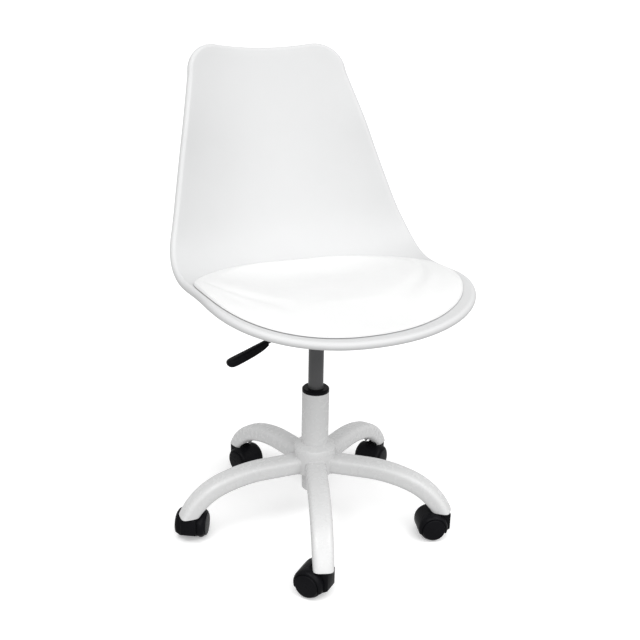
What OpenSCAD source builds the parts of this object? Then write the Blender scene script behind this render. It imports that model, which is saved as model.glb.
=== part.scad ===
// Swivel desk chair: a moulded bucket shell with a loose pad, a gas lift and a
// five-arm tube base on twin-wheel casters.
// Origin: on the column's axis, at floor level. +Z is up and the sitter faces -Y.
// Lengths are in millimetres and angles in degrees. The lift stands fully raised.

/* [Seat shell] */
// Half of the shell's width at the seat, at the outer edge of its laid-out form
seat_half_w = 228.5; // [200:1:270]
// Half of the shell's width where the seat turns into the back
waist_half_w = 224.5; // [190:1:240]
// Half of the shell's width at the top of the back
top_half_w = 140; // [120:1:170]
// Length of the shell along its middle line, from front lip to top edge
spine_len = 824; // [760:1:880]
// Length of the rounded nose, along the middle line
nose_len = 183; // [150:1:210]
// Where the sides of the back start to run straight, along the middle line
waist_len = 460; // [430:1:520]
// How far the front lip reaches forward of the column's axis
nose_reach = 262; // [230:1:290]
// Height of the front lip's surface above the floor
nose_z = 460.5; // [420:0.5:500]
// Slope of the seat, falling towards the back
seat_fall = 4.6; // [0:0.1:6]
// Extra upturn of the front lip
lip_angle = 4.9; // [0:0.1:14]
// Length of the upturned front lip
lip_len = 150; // [100:1:200]
// Where the bend from seat to back starts, along the middle line
bend_start = 238.5; // [200:1:270]
// Where the bend from seat to back ends, along the middle line
bend_end = 522; // [480:1:560]
// Angle of the back above the level where the bend ends
back_angle = 66; // [60:0.1:75]
// Extra angle that the back gains by its top edge
back_curve = 8.3; // [0:0.1:14]
// Height of the seat's side edges above its middle line
seat_rise = 56; // [40:1:75]
// Forward wrap of the back's side edges, half way up
back_rise = 52.5; // [35:1:70]
// Forward wrap of the back's side edges at the top
top_rise = 28.5; // [10:1:40]
// Radius of the back's two top corners
corner_r = 56.5; // [35:1:70]
// Dip of the top edge between its corners
top_dip = 4.5; // [0:0.5:12]
// Thickness of the moulded wall
shell_t = 4.5; // [3.5:0.1:6]
// Outer radius of the rolled rim
rim_r = 7; // [6:0.1:11]
// Diameter of the moulded bosses under the seat
boss_d = 20; // [16:0.5:26]
// Length of the bosses below the seat's middle
boss_len = 12; // [8:0.5:18]

/* [Seat pad] */
// Half of the pad's width
pad_half_w = 219; // [190:1:222]
// Half of the pad's length along the seat
pad_half_len = 190; // [150:1:196]
// Middle of the pad, along the shell's middle line
pad_mid = 223; // [220:1:250]
// Thickness of the pad at its middle, with its board
pad_t = 36; // [30:1:60]
// Thickness of the pad just inside its rounded edge
pad_edge_t = 15; // [10:1:28]
// Height of the seam above the shell
seam_h = 3; // [2:0.5:6]
// Thickness of the board inside the pad
board_t = 4; // [3:0.5:8]

/* [Mounting plate] */
// Width of the plate, side to side
plate_w = 180; // [160:1:220]
// Length of the plate, front to back
plate_len = 140; // [120:1:170]
// Thickness of the plate, bracket and flanges
plate_t = 2.5; // [2:0.1:4]
// Depth of the plate's folded front and back flanges, over its thickness
flange_h = 10; // [6:0.5:16]
// Distance between the bolts, side to side
bolt_span_w = 140; // [120:1:170]
// Distance between the bolts, front to back
bolt_span_len = 100; // [80:1:120]
// Diameter of the bolts
bolt_d = 6; // [5:0.5:8]
// Thickness of the rubber washers between shell and plate
washer_t = 2; // [1:0.5:4]
// Depth of the bracket that holds the taper socket
bracket_h = 46; // [36:0.5:52]
// Inside width of the bracket
bracket_w = 45; // [44:0.5:52]
// Length of the bracket along its bottom
bracket_len = 84; // [76:1:100]

/* [Height lever] */
// Height of the lever's pivot below the plate
pivot_drop = 20.5; // [16:0.5:32]
// Distance of the lever's pivot from the column's axis
pivot_x = 34; // [30:0.5:40]
// Reach of the lever's tip from the column's axis
lever_reach = 168; // [150:1:190]
// Slope of the lever, falling outwards
lever_fall = 22; // [15:0.5:28]
// Diameter of the lever's rod
lever_d = 7; // [6:0.5:10]
// Diameter of the pivot pin
pivot_d = 6; // [5:0.5:8]
// Thickness of the flat toe over the valve button
toe_t = 4.4; // [3:0.1:6]
// Length of the plastic handle
handle_len = 82; // [50:1:90]
// Breadth of the handle at its outer end
handle_w = 20; // [16:0.5:26]
// Thickness of the handle
handle_t = 13; // [12:0.5:18]

/* [Gas lift] */
// Travel of the lift
lift_stroke = 90; // [60:1:90]
// Diameter of the outer column
column_d = 50; // [48:0.5:54]
// Height of the column's top above the floor
column_top = 263; // [255:1:290]
// Height of the column's lower end above the floor
column_bottom = 64; // [55:1:75]
// Diameter of the column's tapered lower end
column_tip_d = 47; // [45:0.5:47.5]
// Wall of the column
column_wall = 1.5; // [1:0.1:2.5]
// Thickness of the column's floor
column_floor = 4; // [3:0.5:6]
// Height of the guide bush's collar
collar_h = 7; // [4:0.5:12]
// Length of the guide bush inside the column
bush_len = 75; // [60:1:90]
// Diameter of the pressure tube
tube_d = 28; // [26:0.5:30]
// Wall of the pressure tube
tube_wall = 2; // [1.5:0.1:2.5]
// Diameter of the pressure tube's tapered top
tube_tip_d = 26.4; // [25:0.1:27]
// Diameter of the piston rod
rod_d = 10; // [8:0.5:12]
// Diameter of the valve button
button_d = 8; // [6:0.5:10]
// Height of the valve button above the tube
button_h = 4; // [3.5:0.5:6]

/* [Hub and arms] */
// Diameter of the hub
hub_d = 62; // [58:0.5:70]
// Height of the hub's top above the floor
hub_top = 140; // [130:1:150]
// Height of the hub
hub_h = 48; // [40:1:56]
// Diameter of the hub's cap
cap_d = 79; // [72:0.5:90]
// Thickness of the cap over the hub
cap_t = 3; // [2:0.5:6]
// Width of an arm's tube
arm_w = 37; // [32:0.5:42]
// Depth of an arm's tube
arm_h = 30; // [24:0.5:32]
// Wall of an arm's tube
arm_wall = 1.8; // [1.2:0.1:2.5]
// Corner radius of an arm's tube
arm_corner_r = 11; // [6:0.5:12]
// Height of an arm's middle line at the hub
arm_z = 118.5; // [110:0.5:126]
// Where an arm starts to bend, from the column's axis
arm_bend_x = 100; // [90:1:115]
// Radius of an arm's long bend
long_bend_r = 240; // [210:1:270]
// Slope of an arm past its long bend, as a share of its length (the slope's sine)
long_slope_share = 0.352; // [0.28:0.001:0.47]
// Radius of an arm's tight bend
tight_bend_r = 115; // [100:1:130]
// Height of the arm's cut end above the floor
arm_end_z = 52; // [48:0.5:56]
// Direction of the front arm, about the column
front_arm_turn = -108; // [-126:0.5:-90]

/* [Casters] */
// Distance of the caster stems from the column's axis
stem_x = 243.5; // [232:0.5:246]
// Diameter of a caster's stem
stem_d = 11; // [10:0.5:12]
// Length of a stem above its flange
stem_len = 17; // [14:0.5:17.5]
// Diameter of a wheel
wheel_d = 50; // [46:0.5:54]
// Width of a wheel
wheel_w = 15; // [10:0.5:16]
// Offset of the axle from the stem
trail = 18; // [14:0.5:22]
// Diameter of the axle
axle_d = 8; // [6:0.5:10]
// Width of the hood between the wheels
hood_w = 28; // [22:0.5:32]
// Outer radius of the hood's fender round the axle
hood_r = 29; // [27:0.5:32]
// Thickness of the hood's walls
hood_t = 2.6; // [2:0.1:4]
// Height of the lower end of the hood's flat face above the floor
hood_face_z = 25; // [20:0.5:30]
// Height of the hood's underside above the floor
hood_foot_z = 7; // [5:0.5:10]
// Direction in which each caster trails, from the front arm round
caster_turns = [131, 165, 218, 293, 61]; // [0:1:360]

/* [Fits] */
// Radial clearance of a shaft that turns or slides in a bore
run_gap = 0.05; // [0.02:0.01:0.1]
// Clearance between pieces that lie close together
gap = 0.3; // [0.2:0.05:0.5]
// Clearance between the shell and the pad that lies in it
pad_gap = 0.7; // [0.5:0.05:0.9]

/* [Hidden] */
$fn = 64;

// One overrun serves every cut
over = 2;
arm_count = 5;
arm_step = 360/arm_count;

// Shell: shares of its sizes, and how finely it is drawn
nose_power = 2.7;
cup_power = 2.1;
nose_rise_share = 0.8;
shell_middle_share = 0.42;
nose_points = 11;
side_points = 20;
corner_points = 6;
top_points = 4;
shell_rings = 16;
rim_outer_angles = [30, 60, 90, 120, 150];
rim_inner_angles = [150, 75, 0];
spine_steps = 120;
spine_step = spine_len/spine_steps;
// The middle line itself, as rows of length, forward reach and height
SPINE = [
    for (i = 0, f = nose_reach, z = nose_z; i <= spine_steps;
        f = f - spine_step*cos(spine_angle((i + 0.5)*spine_step)),
        z = z + spine_step*sin(spine_angle((i + 0.5)*spine_step)),
        i = i + 1) [i*spine_step, f, z]
];
SPINE_F = [for (p = SPINE) [p[0], p[1]]];
SPINE_Z = [for (p = SPINE) [p[0], p[2]]];

// Pad: its outline, and the rings from its middle to its edge
pad_power = 2.7;
pad_round_power = 7;
pad_sides = 60;
pad_ring_shares = [0.2, 0.4, 0.58, 0.73, 0.85, 0.925, 0.97, 0.993];
pad_tuck_share = 0.985;
board_share = 0.9;
board_ring_shares = [0.3, 0.6, 0.85, 1];

// Plate heights, from the shell down
shell_bottom_z = spine_z_at(nose_reach) - shell_t;
boss_z = shell_bottom_z - boss_len;
plate_top = boss_z - washer_t;
plate_bottom = plate_top - plate_t;
plate_corner_r = plate_t*7;
bracket_bottom = plate_bottom - bracket_h;
insert_d = bolt_d + plate_t;
insert_len = boss_len - 2*gap;
bolt_head_d = 2*bolt_d;
bolt_head_h = bolt_d*0.6;

// Lever and valve heights
barrel_r = pivot_d/2 + 2;
pivot_z = plate_bottom - pivot_drop;
toe_bottom = pivot_z - toe_t/2;
button_top = toe_bottom - gap;
tube_top = button_top - button_h;
socket_top = tube_top - button_h;
socket_bottom = bracket_bottom - plate_t*3;
socket_r = bracket_w/2 - plate_t;
toe_w = button_d + 2*lever_d/5;
button_len = 5*button_h;

// Side of the handle, as shares of its length and thickness: a straight top and a deep belly
handle_profile_shares = [
    [0, -0.33], [0.08, -0.37], [0.18, -0.48], [0.3, -0.58], [0.45, -0.63], [0.8, -0.61],
    [0.92, -0.5], [0.985, -0.25], [1, -0.02], [0.985, 0.2], [0.94, 0.33], [0.86, 0.37], [0, 0.37]
];

// Gas lift heights, from the floor up
race_t = 1.5;
ball_d = 5;
ball_count = 12;
bump_h = 8;
race_r = column_tip_d/2 - column_wall - 3*gap;
ball_ring_r = (race_r + rod_d/2)/2;
lower_race_z = column_bottom + column_floor;
ball_z = lower_race_z + race_t + ball_d/2;
upper_race_z = ball_z + ball_d/2 + gap;
rod_shoulder_z = upper_race_z + race_t;
bump_z = rod_shoulder_z;
bump_top = bump_z + bump_h;
tube_bottom = bump_top + gap + lift_stroke;
tube_foot_h = 10;
tube_plug_h = button_len + 2*button_h;
tube_bore_r = tube_d/2 - tube_wall;
piston_h = 14;
piston_z = tube_bottom + tube_foot_h + gap;
seal_h = piston_h/3;
seal_depth = tube_wall;
rod_neck_d = rod_d*0.8;
clip_z = column_bottom - gap;
clip_t = race_t;
clip_r = rod_d*0.9;
rod_bottom = clip_z - clip_t - rod_d/4;

// Arm bends: where the tight bend's middle lies, and the angle at which the tube is cut off
hub_bottom = hub_top - hub_h;
long_bend = asin(long_slope_share);
long_middle = [arm_bend_x, arm_z - long_bend_r];
tight_middle = long_middle + (long_bend_r - tight_bend_r)*[long_slope_share, cos(long_bend)];
bend_end_angle = acos((arm_end_z - arm_h - tight_middle[1])/(tight_bend_r + arm_h));
corner_steps = 5;
notch_w = arm_w*0.73;
notch_angle = 52;
arm_corner_across = arm_w/2 - arm_corner_r*(1 - cos(45));
arm_corner_deep = arm_h/2 - arm_corner_r*(1 - cos(45));
socket_wall = 3;

// Caster heights
wheel_r = wheel_d/2;
stem_flange_d = stem_d + 6;
stem_flange_t = 1.6;
hood_seat_z = arm_end_z - stem_flange_t;
hood_recess_z = hood_seat_z - gap;
hood_recess_r = 2*gap + max(
    norm([arm_reach(arm_end_z, arm_corner_deep) - stem_x, arm_corner_across]),
    norm([arm_reach(wheel_r + hood_r, -arm_corner_deep) - stem_x, arm_corner_across]));
stem_foot_z = wheel_r - axle_d/2;
wheel_inner = hood_w/2 + 2*gap;
axle_len = hood_w + 2*wheel_w - 2*hood_t;
hub_boss_d = axle_d + 2*hood_t + 2;

// Angles of the arms, in the order of their numbers
function arm_turn(k) = front_arm_turn + (k - 1)*arm_step;
// How far out a line along the arm's tight bend is at a height, v off the tube's middle
function arm_reach(z, v) = tight_middle[0]
    + (tight_bend_r + v)*sin(acos((z - tight_middle[1])/(tight_bend_r + v)));
// Radius of the column's outside in its taper
function taper_r(z) = column_tip_d/2
    + (column_d - column_tip_d)/2*(z - column_bottom)/(hub_top - column_bottom);
// Radius of the pressure tube's outside in its taper
function tube_taper_r(z) = tube_tip_d/2
    + (tube_d - tube_tip_d)/2*(tube_top - z)/(tube_top - socket_bottom);

function mix(a, b, t) = a + (b - a)*t;
function ease(t) = let(c = min(1, max(0, t))) c*c*(3 - 2*c);
function unit(v) = v/norm(v);

// Slope of the shell's middle line at a length s from the front lip
function spine_angle(s) = mix(-seat_fall, back_angle, ease((s - bend_start)/(bend_end - bend_start)))
    - lip_angle*pow(max(0, 1 - s/lip_len), 2)
    + back_curve*max(0, (s - bend_end)/(spine_len - bend_end));
function spine_z_at(s) = lookup(s, SPINE_Z);

// Half of the shell's width at a length s
side_slope = (top_half_w - waist_half_w)/(spine_len - waist_len);
function waist_blend(t) = seat_half_w*(1 + 2*t)*pow(1 - t, 2) + waist_half_w*t*t*(3 - 2*t)
    + side_slope*(waist_len - nose_len)*t*t*(t - 1);
function half_width(s) =
    s <= nose_len ? seat_half_w
    : s < waist_len ? waist_blend((s - nose_len)/(waist_len - nose_len))
    : waist_half_w + side_slope*(s - waist_len);
// How far the side edge stands off the middle line at a length s
back_half = (waist_len + spine_len)/2;
function side_rise(s) =
    s < nose_len ? mix(nose_rise_share*seat_rise, seat_rise, ease(s/nose_len))
    : s < waist_len ? seat_rise
    : s < back_half ? mix(seat_rise, back_rise, ease((s - waist_len)/(back_half - waist_len)))
    : mix(back_rise, top_rise, ease((s - back_half)/(spine_len - back_half)));

// A point of the shell's upper face, from its place p = [x, s]
function face_point(p) =
    let(stand = side_rise(p[1])*pow(min(1.1, abs(p[0])/half_width(p[1])), cup_power),
        a = spine_angle(p[1]))
    [p[0], -lookup(p[1], SPINE_F) - stand*sin(a), spine_z_at(p[1]) + stand*cos(a)];
function face_normal(p) =
    let(s = min(spine_len - spine_step, max(spine_step, p[1])),
        along = face_point([p[0], s + spine_step]) - face_point([p[0], s - spine_step]),
        across = face_point([p[0] + spine_step, s]) - face_point([p[0] - spine_step, s]))
    unit(cross(across, along));
function off_face(p, h) = face_point(p) + h*face_normal(p);

// Outline of the shell over its upper face: nose, side, corner and top edge, then mirrored
corner_s = spine_len - corner_r;
corner_x = half_width(corner_s) - corner_r;
half_outline = concat(
    [for (i = [0:nose_points]) let(t = 90*i/nose_points)
        [seat_half_w*pow(sin(t), 2/nose_power), nose_len*(1 - pow(cos(t), 2/nose_power))]],
    [for (i = [1:side_points]) let(s = mix(nose_len, corner_s, i/side_points)) [half_width(s), s]],
    [for (i = [1:corner_points]) let(t = 90*i/corner_points)
        [corner_x + corner_r*cos(t), corner_s + corner_r*sin(t)]],
    [for (i = [1:top_points]) let(x = corner_x*(1 - i/top_points))
        [x, spine_len - top_dip*(1 - pow(x/corner_x, 2))]]
);
outline = concat(half_outline,
    [for (i = [len(half_outline) - 2:-1:1]) [-half_outline[i][0], half_outline[i][1]]]);
function next(i, n) = (i + 1)%n;
function prev(i, n) = (i + n - 1)%n;
function inset(loop, d) = [
    for (i = [0:len(loop) - 1])
        let(t = unit(loop[next(i, len(loop))] - loop[prev(i, len(loop))])) loop[i] - d*[t[1], -t[0]]
];
function ring(loop, middle, share, h) = [for (p = loop) off_face(middle + (p - middle)*share, h)];

// The roll of the rim: an arc of radius r round a line rim_r below the edge of the upper face
function rim_arc(loop, r, angle) = [
    for (i = [0:len(loop) - 1])
        let(n = face_normal(loop[i]),
            t = face_point(loop[next(i, len(loop))]) - face_point(loop[prev(i, len(loop))]),
            o = unit(cross(t, n)))
        face_point(loop[i]) - rim_r*n + r*(o*sin(angle) + n*cos(angle))
];

// A closed skin over rings of equal length, from a first point to a last one
module skin(first, rings, last) {
    n = len(rings[0]);
    end = len(rings) - 1;
    points = concat([first], [for (r = rings) each r], [last]);
    faces = concat(
        [for (i = [0:n - 1]) [0, 1 + next(i, n), 1 + i]],
        [for (j = [0:end - 1], i = [0:n - 1], half = [0, 1])
            let(a = 1 + j*n + i, b = 1 + j*n + next(i, n), c = b + n, d = a + n)
            half == 0 ? [a, b, c] : [a, c, d]],
        [for (i = [0:n - 1]) [1 + end*n + i, 1 + end*n + next(i, n), len(points) - 1]]
    );
    polyhedron(points = points, faces = faces, convexity = 6);
}

module each_bolt() {
    for (x = [-1, 1], y = [-1, 1]) translate([x*bolt_span_w/2, y*bolt_span_len/2, 0]) children();
}

module seat_shell() {
    middle = [0, shell_middle_share*spine_len];
    edge = inset(outline, rim_r);
    color("white") difference() {
        union() {
            skin(
                face_point(middle),
                concat(
                    [for (j = [1:shell_rings]) ring(edge, middle, j/shell_rings, 0)],
                    [for (a = rim_outer_angles) rim_arc(edge, rim_r, a)],
                    [for (a = rim_inner_angles) rim_arc(edge, rim_r - shell_t, a)],
                    [for (j = [shell_rings - 1:-1:1]) ring(edge, middle, j/shell_rings, -shell_t)]
                ),
                off_face(middle, -shell_t)
            );
            for (x = [-1, 1], y = [-1, 1])
                let(p = [x*bolt_span_w/2, nose_reach + y*bolt_span_len/2])
                translate([p[0], y*bolt_span_len/2, boss_z])
                cylinder(d = boss_d, h = off_face(p, -shell_t/2)[2] - boss_z);
        }
        translate([0, 0, boss_z - over]) each_bolt() cylinder(d = insert_d, h = insert_len + over);
    }
}

module threaded_inserts() {
    color("gold") translate([0, 0, boss_z]) each_bolt() difference() {
        cylinder(d = insert_d, h = insert_len);
        translate([0, 0, -over]) cylinder(d = bolt_d + 2*run_gap, h = insert_len + 2*over);
    }
}

// Pad outline over the shell's upper face, grown or shrunk by a share
function pad_loop(share) = [
    for (i = [0:pad_sides - 1])
        let(t = 360*i/pad_sides - 90, c = cos(t), s = sin(t))
        [share*pad_half_w*sign(c)*pow(abs(c), 2/pad_power),
            pad_mid + share*pad_half_len*sign(s)*pow(abs(s), 2/pad_power)]
];
function pad_ring(share, h) = [for (p = pad_loop(share)) off_face(p, h)];
// Thickness of the pad at a share of the way to its edge: a crown, then a rounded shoulder
function pad_height(share) = seam_h
    + mix(pad_t, pad_edge_t, share*share)*sqrt(1 - pow(share, pad_round_power))
    - seam_h*sqrt(1 - pow(share, pad_round_power));

module seat_pad() {
    board_top = pad_gap + board_t + pad_gap;
    last = len(board_ring_shares) - 1;
    color("whitesmoke") skin(
        off_face([0, pad_mid], pad_height(0)),
        concat(
            [for (r = pad_ring_shares) pad_ring(r, pad_height(r))],
            [pad_ring(1, seam_h)],
            [pad_ring(pad_tuck_share, pad_gap)],
            [pad_ring(board_share + 1 - pad_tuck_share, pad_gap)],
            [pad_ring(board_share + 1 - pad_tuck_share, board_top)],
            [for (i = [last:-1:0]) pad_ring(board_share*board_ring_shares[i], board_top)]
        ),
        off_face([0, pad_mid], board_top)
    );
}

module pad_board() {
    last = len(board_ring_shares) - 1;
    color("burlywood") skin(
        off_face([0, pad_mid], pad_gap + board_t),
        concat(
            [for (r = board_ring_shares) pad_ring(board_share*r, pad_gap + board_t)],
            [for (i = [last:-1:0]) pad_ring(board_share*board_ring_shares[i], pad_gap)]
        ),
        off_face([0, pad_mid], pad_gap)
    );
}

// Points of a rounded rectangle
function round_rect(w, h, r) = [
    for (q = [0:3], i = [0:corner_steps])
        let(a = 90*(q + i/corner_steps), x = q == 0 || q == 3 ? 1 : -1, y = q < 2 ? 1 : -1)
        [x*(w/2 - r) + r*cos(a), y*(h/2 - r) + r*sin(a)]
];

module mounting_plate() {
    color("dimgray") difference() {
        union() {
            translate([0, 0, plate_bottom])
                linear_extrude(plate_t) polygon(round_rect(plate_w, plate_len, plate_corner_r));
            for (y = [-1, 1])
                translate([0, y*(plate_len - plate_t)/2, plate_top - flange_h/2])
                cube([plate_w - 2*plate_corner_r, plate_t, flange_h], center = true);
        }
        translate([0, 0, plate_bottom - over]) each_bolt() cylinder(d = bolt_d + 2*gap, h = plate_t + 2*over);
    }
}

module rubber_washers() {
    color("black") translate([0, 0, plate_top]) each_bolt() difference() {
        cylinder(d = boss_d, h = washer_t);
        translate([0, 0, -over]) cylinder(d = bolt_d + 2*gap, h = washer_t + 2*over);
    }
}

module plate_bolts() {
    color("gray") each_bolt() {
        translate([0, 0, plate_bottom - bolt_head_h]) difference() {
            cylinder(d = bolt_head_d, h = bolt_head_h);
            translate([0, 0, -over]) cylinder(d = bolt_d/cos(30)*0.8, h = bolt_head_h/2 + over, $fn = 6);
        }
        translate([0, 0, plate_bottom])
            cylinder(d = bolt_d, h = boss_z + insert_len - plate_bottom - gap);
    }
}

// Bracket: a folded channel, longer along the plate than along its bottom
module bracket_side(len, h) {
    polygon([
        [-len/2 - h/2, h], [-len/2, 0], [len/2, 0], [len/2 + h/2, h]
    ]);
}

module socket_bracket() {
    color("dimgray") difference() {
        translate([0, bracket_w/2 + plate_t, bracket_bottom]) rotate([90, 0, 0])
            linear_extrude(bracket_w + 2*plate_t) bracket_side(bracket_len, bracket_h);
        translate([0, 0, bracket_bottom + plate_t + bracket_h/2 + over/2])
            cube([2*bracket_len + bracket_h, bracket_w, bracket_h + over], center = true);
        translate([0, 0, bracket_bottom - over]) cylinder(r = socket_r, h = plate_t + 2*over);
        translate([-pivot_x, 0, pivot_z]) rotate([90, 0, 0])
            cylinder(d = pivot_d, h = bracket_w + 4*plate_t, center = true);
    }
}

module taper_socket() {
    color("dimgray") difference() {
        translate([0, 0, socket_bottom]) cylinder(r = socket_r, h = socket_top - socket_bottom);
        translate([0, 0, socket_bottom - over])
            cylinder(r1 = tube_taper_r(socket_bottom - over), r2 = tube_taper_r(socket_top + over),
                h = socket_top - socket_bottom + 2*over);
    }
}

module lever_pivot_pin() {
    pin_len = bracket_w + 2*plate_t;
    color("silver") translate([-pivot_x, 0, pivot_z]) rotate([90, 0, 0]) {
        cylinder(d = pivot_d, h = pin_len, center = true);
        for (y = [-1, 1])
            translate([0, 0, y*(pin_len + plate_t)/2]) cylinder(r = barrel_r, h = plate_t, center = true);
    }
}

// The lever slopes down from its pivot; its frame runs outwards along its own +X
module lever_frame() {
    translate([-pivot_x, 0, pivot_z]) rotate([0, lever_fall, 180]) children();
}
lever_len = (lever_reach - pivot_x)/cos(lever_fall);

module lever_rod() {
    color("dimgray") difference() {
        union() {
            translate([-pivot_x, 0, pivot_z]) rotate([90, 0, 0])
                cylinder(r = barrel_r, h = bracket_w - 4*gap, center = true);
            translate([-pivot_x, -toe_w/2, toe_bottom]) cube([pivot_x + toe_w/2, toe_w, toe_t]);
            lever_frame() rotate([0, 90, 0]) cylinder(d = lever_d, h = lever_len - lever_d);
        }
        translate([-pivot_x, 0, pivot_z]) rotate([90, 0, 0])
            cylinder(d = pivot_d + 2*run_gap, h = bracket_w, center = true);
    }
}

// Handle outline, from above: a round root and a broader round end
module lever_handle() {
    root = lever_len - handle_len;
    color("black") difference() {
        intersection() {
            lever_frame() translate([0, 0, -handle_t]) linear_extrude(2*handle_t) union() {
                translate([root, 0]) polygon([
                    [0, -handle_w*0.32], [handle_len - handle_w/2, -handle_w/2],
                    [handle_len - handle_w/2, handle_w/2], [0, handle_w*0.32]
                ]);
                translate([lever_len - handle_w/2, 0]) circle(d = handle_w);
            }
            lever_frame() rotate([90, 0, 0]) linear_extrude(2*handle_w, center = true)
                polygon([for (p = handle_profile_shares) [root + p[0]*handle_len, p[1]*handle_t]]);
        }
        lever_frame() translate([root - over, 0, 0]) rotate([0, 90, 0])
            cylinder(d = lever_d, h = handle_len - lever_d + over);
    }
}

module pressure_tube() {
    color("dimgray") rotate_extrude() polygon([
        [rod_d/2 + run_gap, tube_bottom], [tube_d/2, tube_bottom], [tube_d/2, socket_bottom],
        [tube_tip_d/2, tube_top], [button_d/2 + run_gap, tube_top],
        [button_d/2 + run_gap, tube_top - tube_plug_h], [tube_bore_r, tube_top - tube_plug_h],
        [tube_bore_r, tube_bottom + tube_foot_h], [rod_d/2 + run_gap, tube_bottom + tube_foot_h]
    ]);
}

module valve_button() {
    color("silver") translate([0, 0, button_top - button_len]) cylinder(d = button_d, h = button_len);
}

module piston_rod() {
    piston_r = tube_bore_r - run_gap;
    seal_z = piston_z + (piston_h - seal_h)/2;
    color("silver") rotate_extrude() polygon([
        [0, rod_bottom], [rod_neck_d/2, rod_bottom], [rod_neck_d/2, rod_shoulder_z],
        [rod_d/2, rod_shoulder_z], [rod_d/2, piston_z], [piston_r, piston_z], [piston_r, seal_z],
        [piston_r - seal_depth, seal_z], [piston_r - seal_depth, seal_z + seal_h],
        [piston_r, seal_z + seal_h], [piston_r, piston_z + piston_h], [0, piston_z + piston_h]
    ]);
}

// A flat ring standing on z
module flat_ring(z, outer_r, inner_r, h) {
    translate([0, 0, z]) difference() {
        cylinder(r = outer_r, h = h);
        translate([0, 0, -over]) cylinder(r = inner_r, h = h + 2*over);
    }
}

module piston_seal() {
    piston_r = tube_bore_r - run_gap;
    color("black") flat_ring(piston_z + (piston_h - seal_h)/2, piston_r, piston_r - seal_depth, seal_h);
}

module bump_stop() {
    color("black") flat_ring(bump_z, tube_d/2, rod_d/2, bump_h);
}

module bearing_upper_race() {
    color("silver") flat_ring(upper_race_z, race_r, rod_neck_d/2, race_t);
}

module ball_places() {
    for (i = [0:ball_count - 1])
        rotate([0, 0, 360*i/ball_count]) translate([ball_ring_r, 0, ball_z]) children();
}

module bearing_cage() {
    cage_t = ball_d*0.4;
    color("goldenrod") difference() {
        flat_ring(ball_z - cage_t/2, race_r, rod_neck_d/2 + 2*gap, cage_t);
        ball_places() cylinder(d = ball_d + 2*gap, h = ball_d, center = true);
    }
}

module bearing_balls() {
    color("silver") ball_places() sphere(d = ball_d);
}

module bearing_lower_race() {
    color("silver") flat_ring(lower_race_z, race_r, rod_neck_d/2 + run_gap, race_t);
}

module retaining_clip() {
    color("silver") flat_ring(clip_z - clip_t, clip_r, rod_neck_d/2, clip_t);
}

module guide_bush() {
    chamfer = collar_h*0.3;
    color("black") rotate_extrude() polygon([
        [tube_d/2 + run_gap, column_top - bush_len], [column_d/2 - column_wall, column_top - bush_len],
        [column_d/2 - column_wall, column_top], [column_d/2, column_top],
        [column_d/2, column_top + collar_h - chamfer], [column_d/2 - chamfer, column_top + collar_h],
        [tube_d/2 + run_gap, column_top + collar_h]
    ]);
}

module column_tube() {
    color("white") rotate_extrude() polygon([
        [rod_neck_d/2 + run_gap, column_bottom], [column_tip_d/2, column_bottom],
        [column_d/2, hub_top], [column_d/2, column_top], [column_d/2 - column_wall, column_top],
        [column_d/2 - column_wall, hub_top], [column_tip_d/2 - column_wall, column_bottom + column_floor],
        [rod_neck_d/2 + run_gap, column_bottom + column_floor]
    ]);
}

module base_hub() {
    color("white") difference() {
        translate([0, 0, hub_bottom]) cylinder(d = hub_d, h = hub_h);
        translate([0, 0, hub_bottom - over])
            cylinder(r1 = taper_r(hub_bottom - over), r2 = taper_r(hub_top + over), h = hub_h + 2*over);
    }
}

// Cap: a lid over the hub with a rounded shoulder and a short skirt over the arms' roots
module hub_cap() {
    skirt_z = arm_z + arm_h/2 + gap;
    shoulder = hub_top + cap_t - skirt_z;
    color("white") rotate_extrude() difference() {
        union() {
            translate([column_d/2 + gap, skirt_z]) square([cap_d/2 - shoulder - column_d/2 - gap, shoulder]);
            intersection() {
                translate([cap_d/2 - shoulder, skirt_z]) circle(r = shoulder);
                translate([cap_d/2 - shoulder, skirt_z]) square([shoulder, shoulder]);
            }
        }
        translate([0, skirt_z - over]) square([hub_d/2 + gap, hub_top - skirt_z + over]);
    }
}

// Section of an arm's tube, its width along the given axis
module arm_section(inset) {
    polygon(round_rect(arm_w - 2*inset, arm_h - 2*inset, arm_corner_r - inset));
}

// An arm's bent bar, along +X, from start to past its cut end
module arm_bar(start, inset) {
    translate([start, 0, arm_z]) rotate([90, 0, 90]) linear_extrude(arm_bend_x - start) arm_section(inset);
    translate([long_middle[0], 0, long_middle[1]]) rotate([-90, -90, 0])
        rotate_extrude(angle = long_bend) translate([long_bend_r, 0]) rotate([0, 0, 90]) arm_section(inset);
    translate([tight_middle[0], 0, tight_middle[1]]) rotate([-90, -90, 0]) rotate([0, 0, long_bend])
        rotate_extrude(angle = bend_end_angle - long_bend)
            translate([tight_bend_r, 0]) rotate([0, 0, 90]) arm_section(inset);
}

// The arch-ended notch in the underside, which lets the caster's socket through
module arm_notch() {
    wall_r = tight_bend_r - arm_h/2 - over;
    notch_depth = arm_wall + 3*over;
    translate([tight_middle[0], 0, tight_middle[1]]) rotate([-90, -90, 0]) {
        rotate([0, 0, notch_angle]) rotate_extrude(angle = bend_end_angle - notch_angle)
            translate([wall_r, -notch_w/2]) square([notch_depth, notch_w]);
        rotate([0, 0, notch_angle]) translate([wall_r, 0, 0]) rotate([0, 90, 0])
            cylinder(d = notch_w, h = notch_depth);
    }
}

module base_arm(k) {
    color("white") rotate([0, 0, arm_turn(k)]) difference() {
        arm_bar(0, 0);
        arm_bar(-over, arm_wall);
        cylinder(d = hub_d, h = 2*arm_z);
        translate([stem_x, 0, arm_end_z - arm_w]) cube([2*arm_w, 2*arm_w, 2*arm_w], center = true);
        arm_notch();
    }
}

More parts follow.
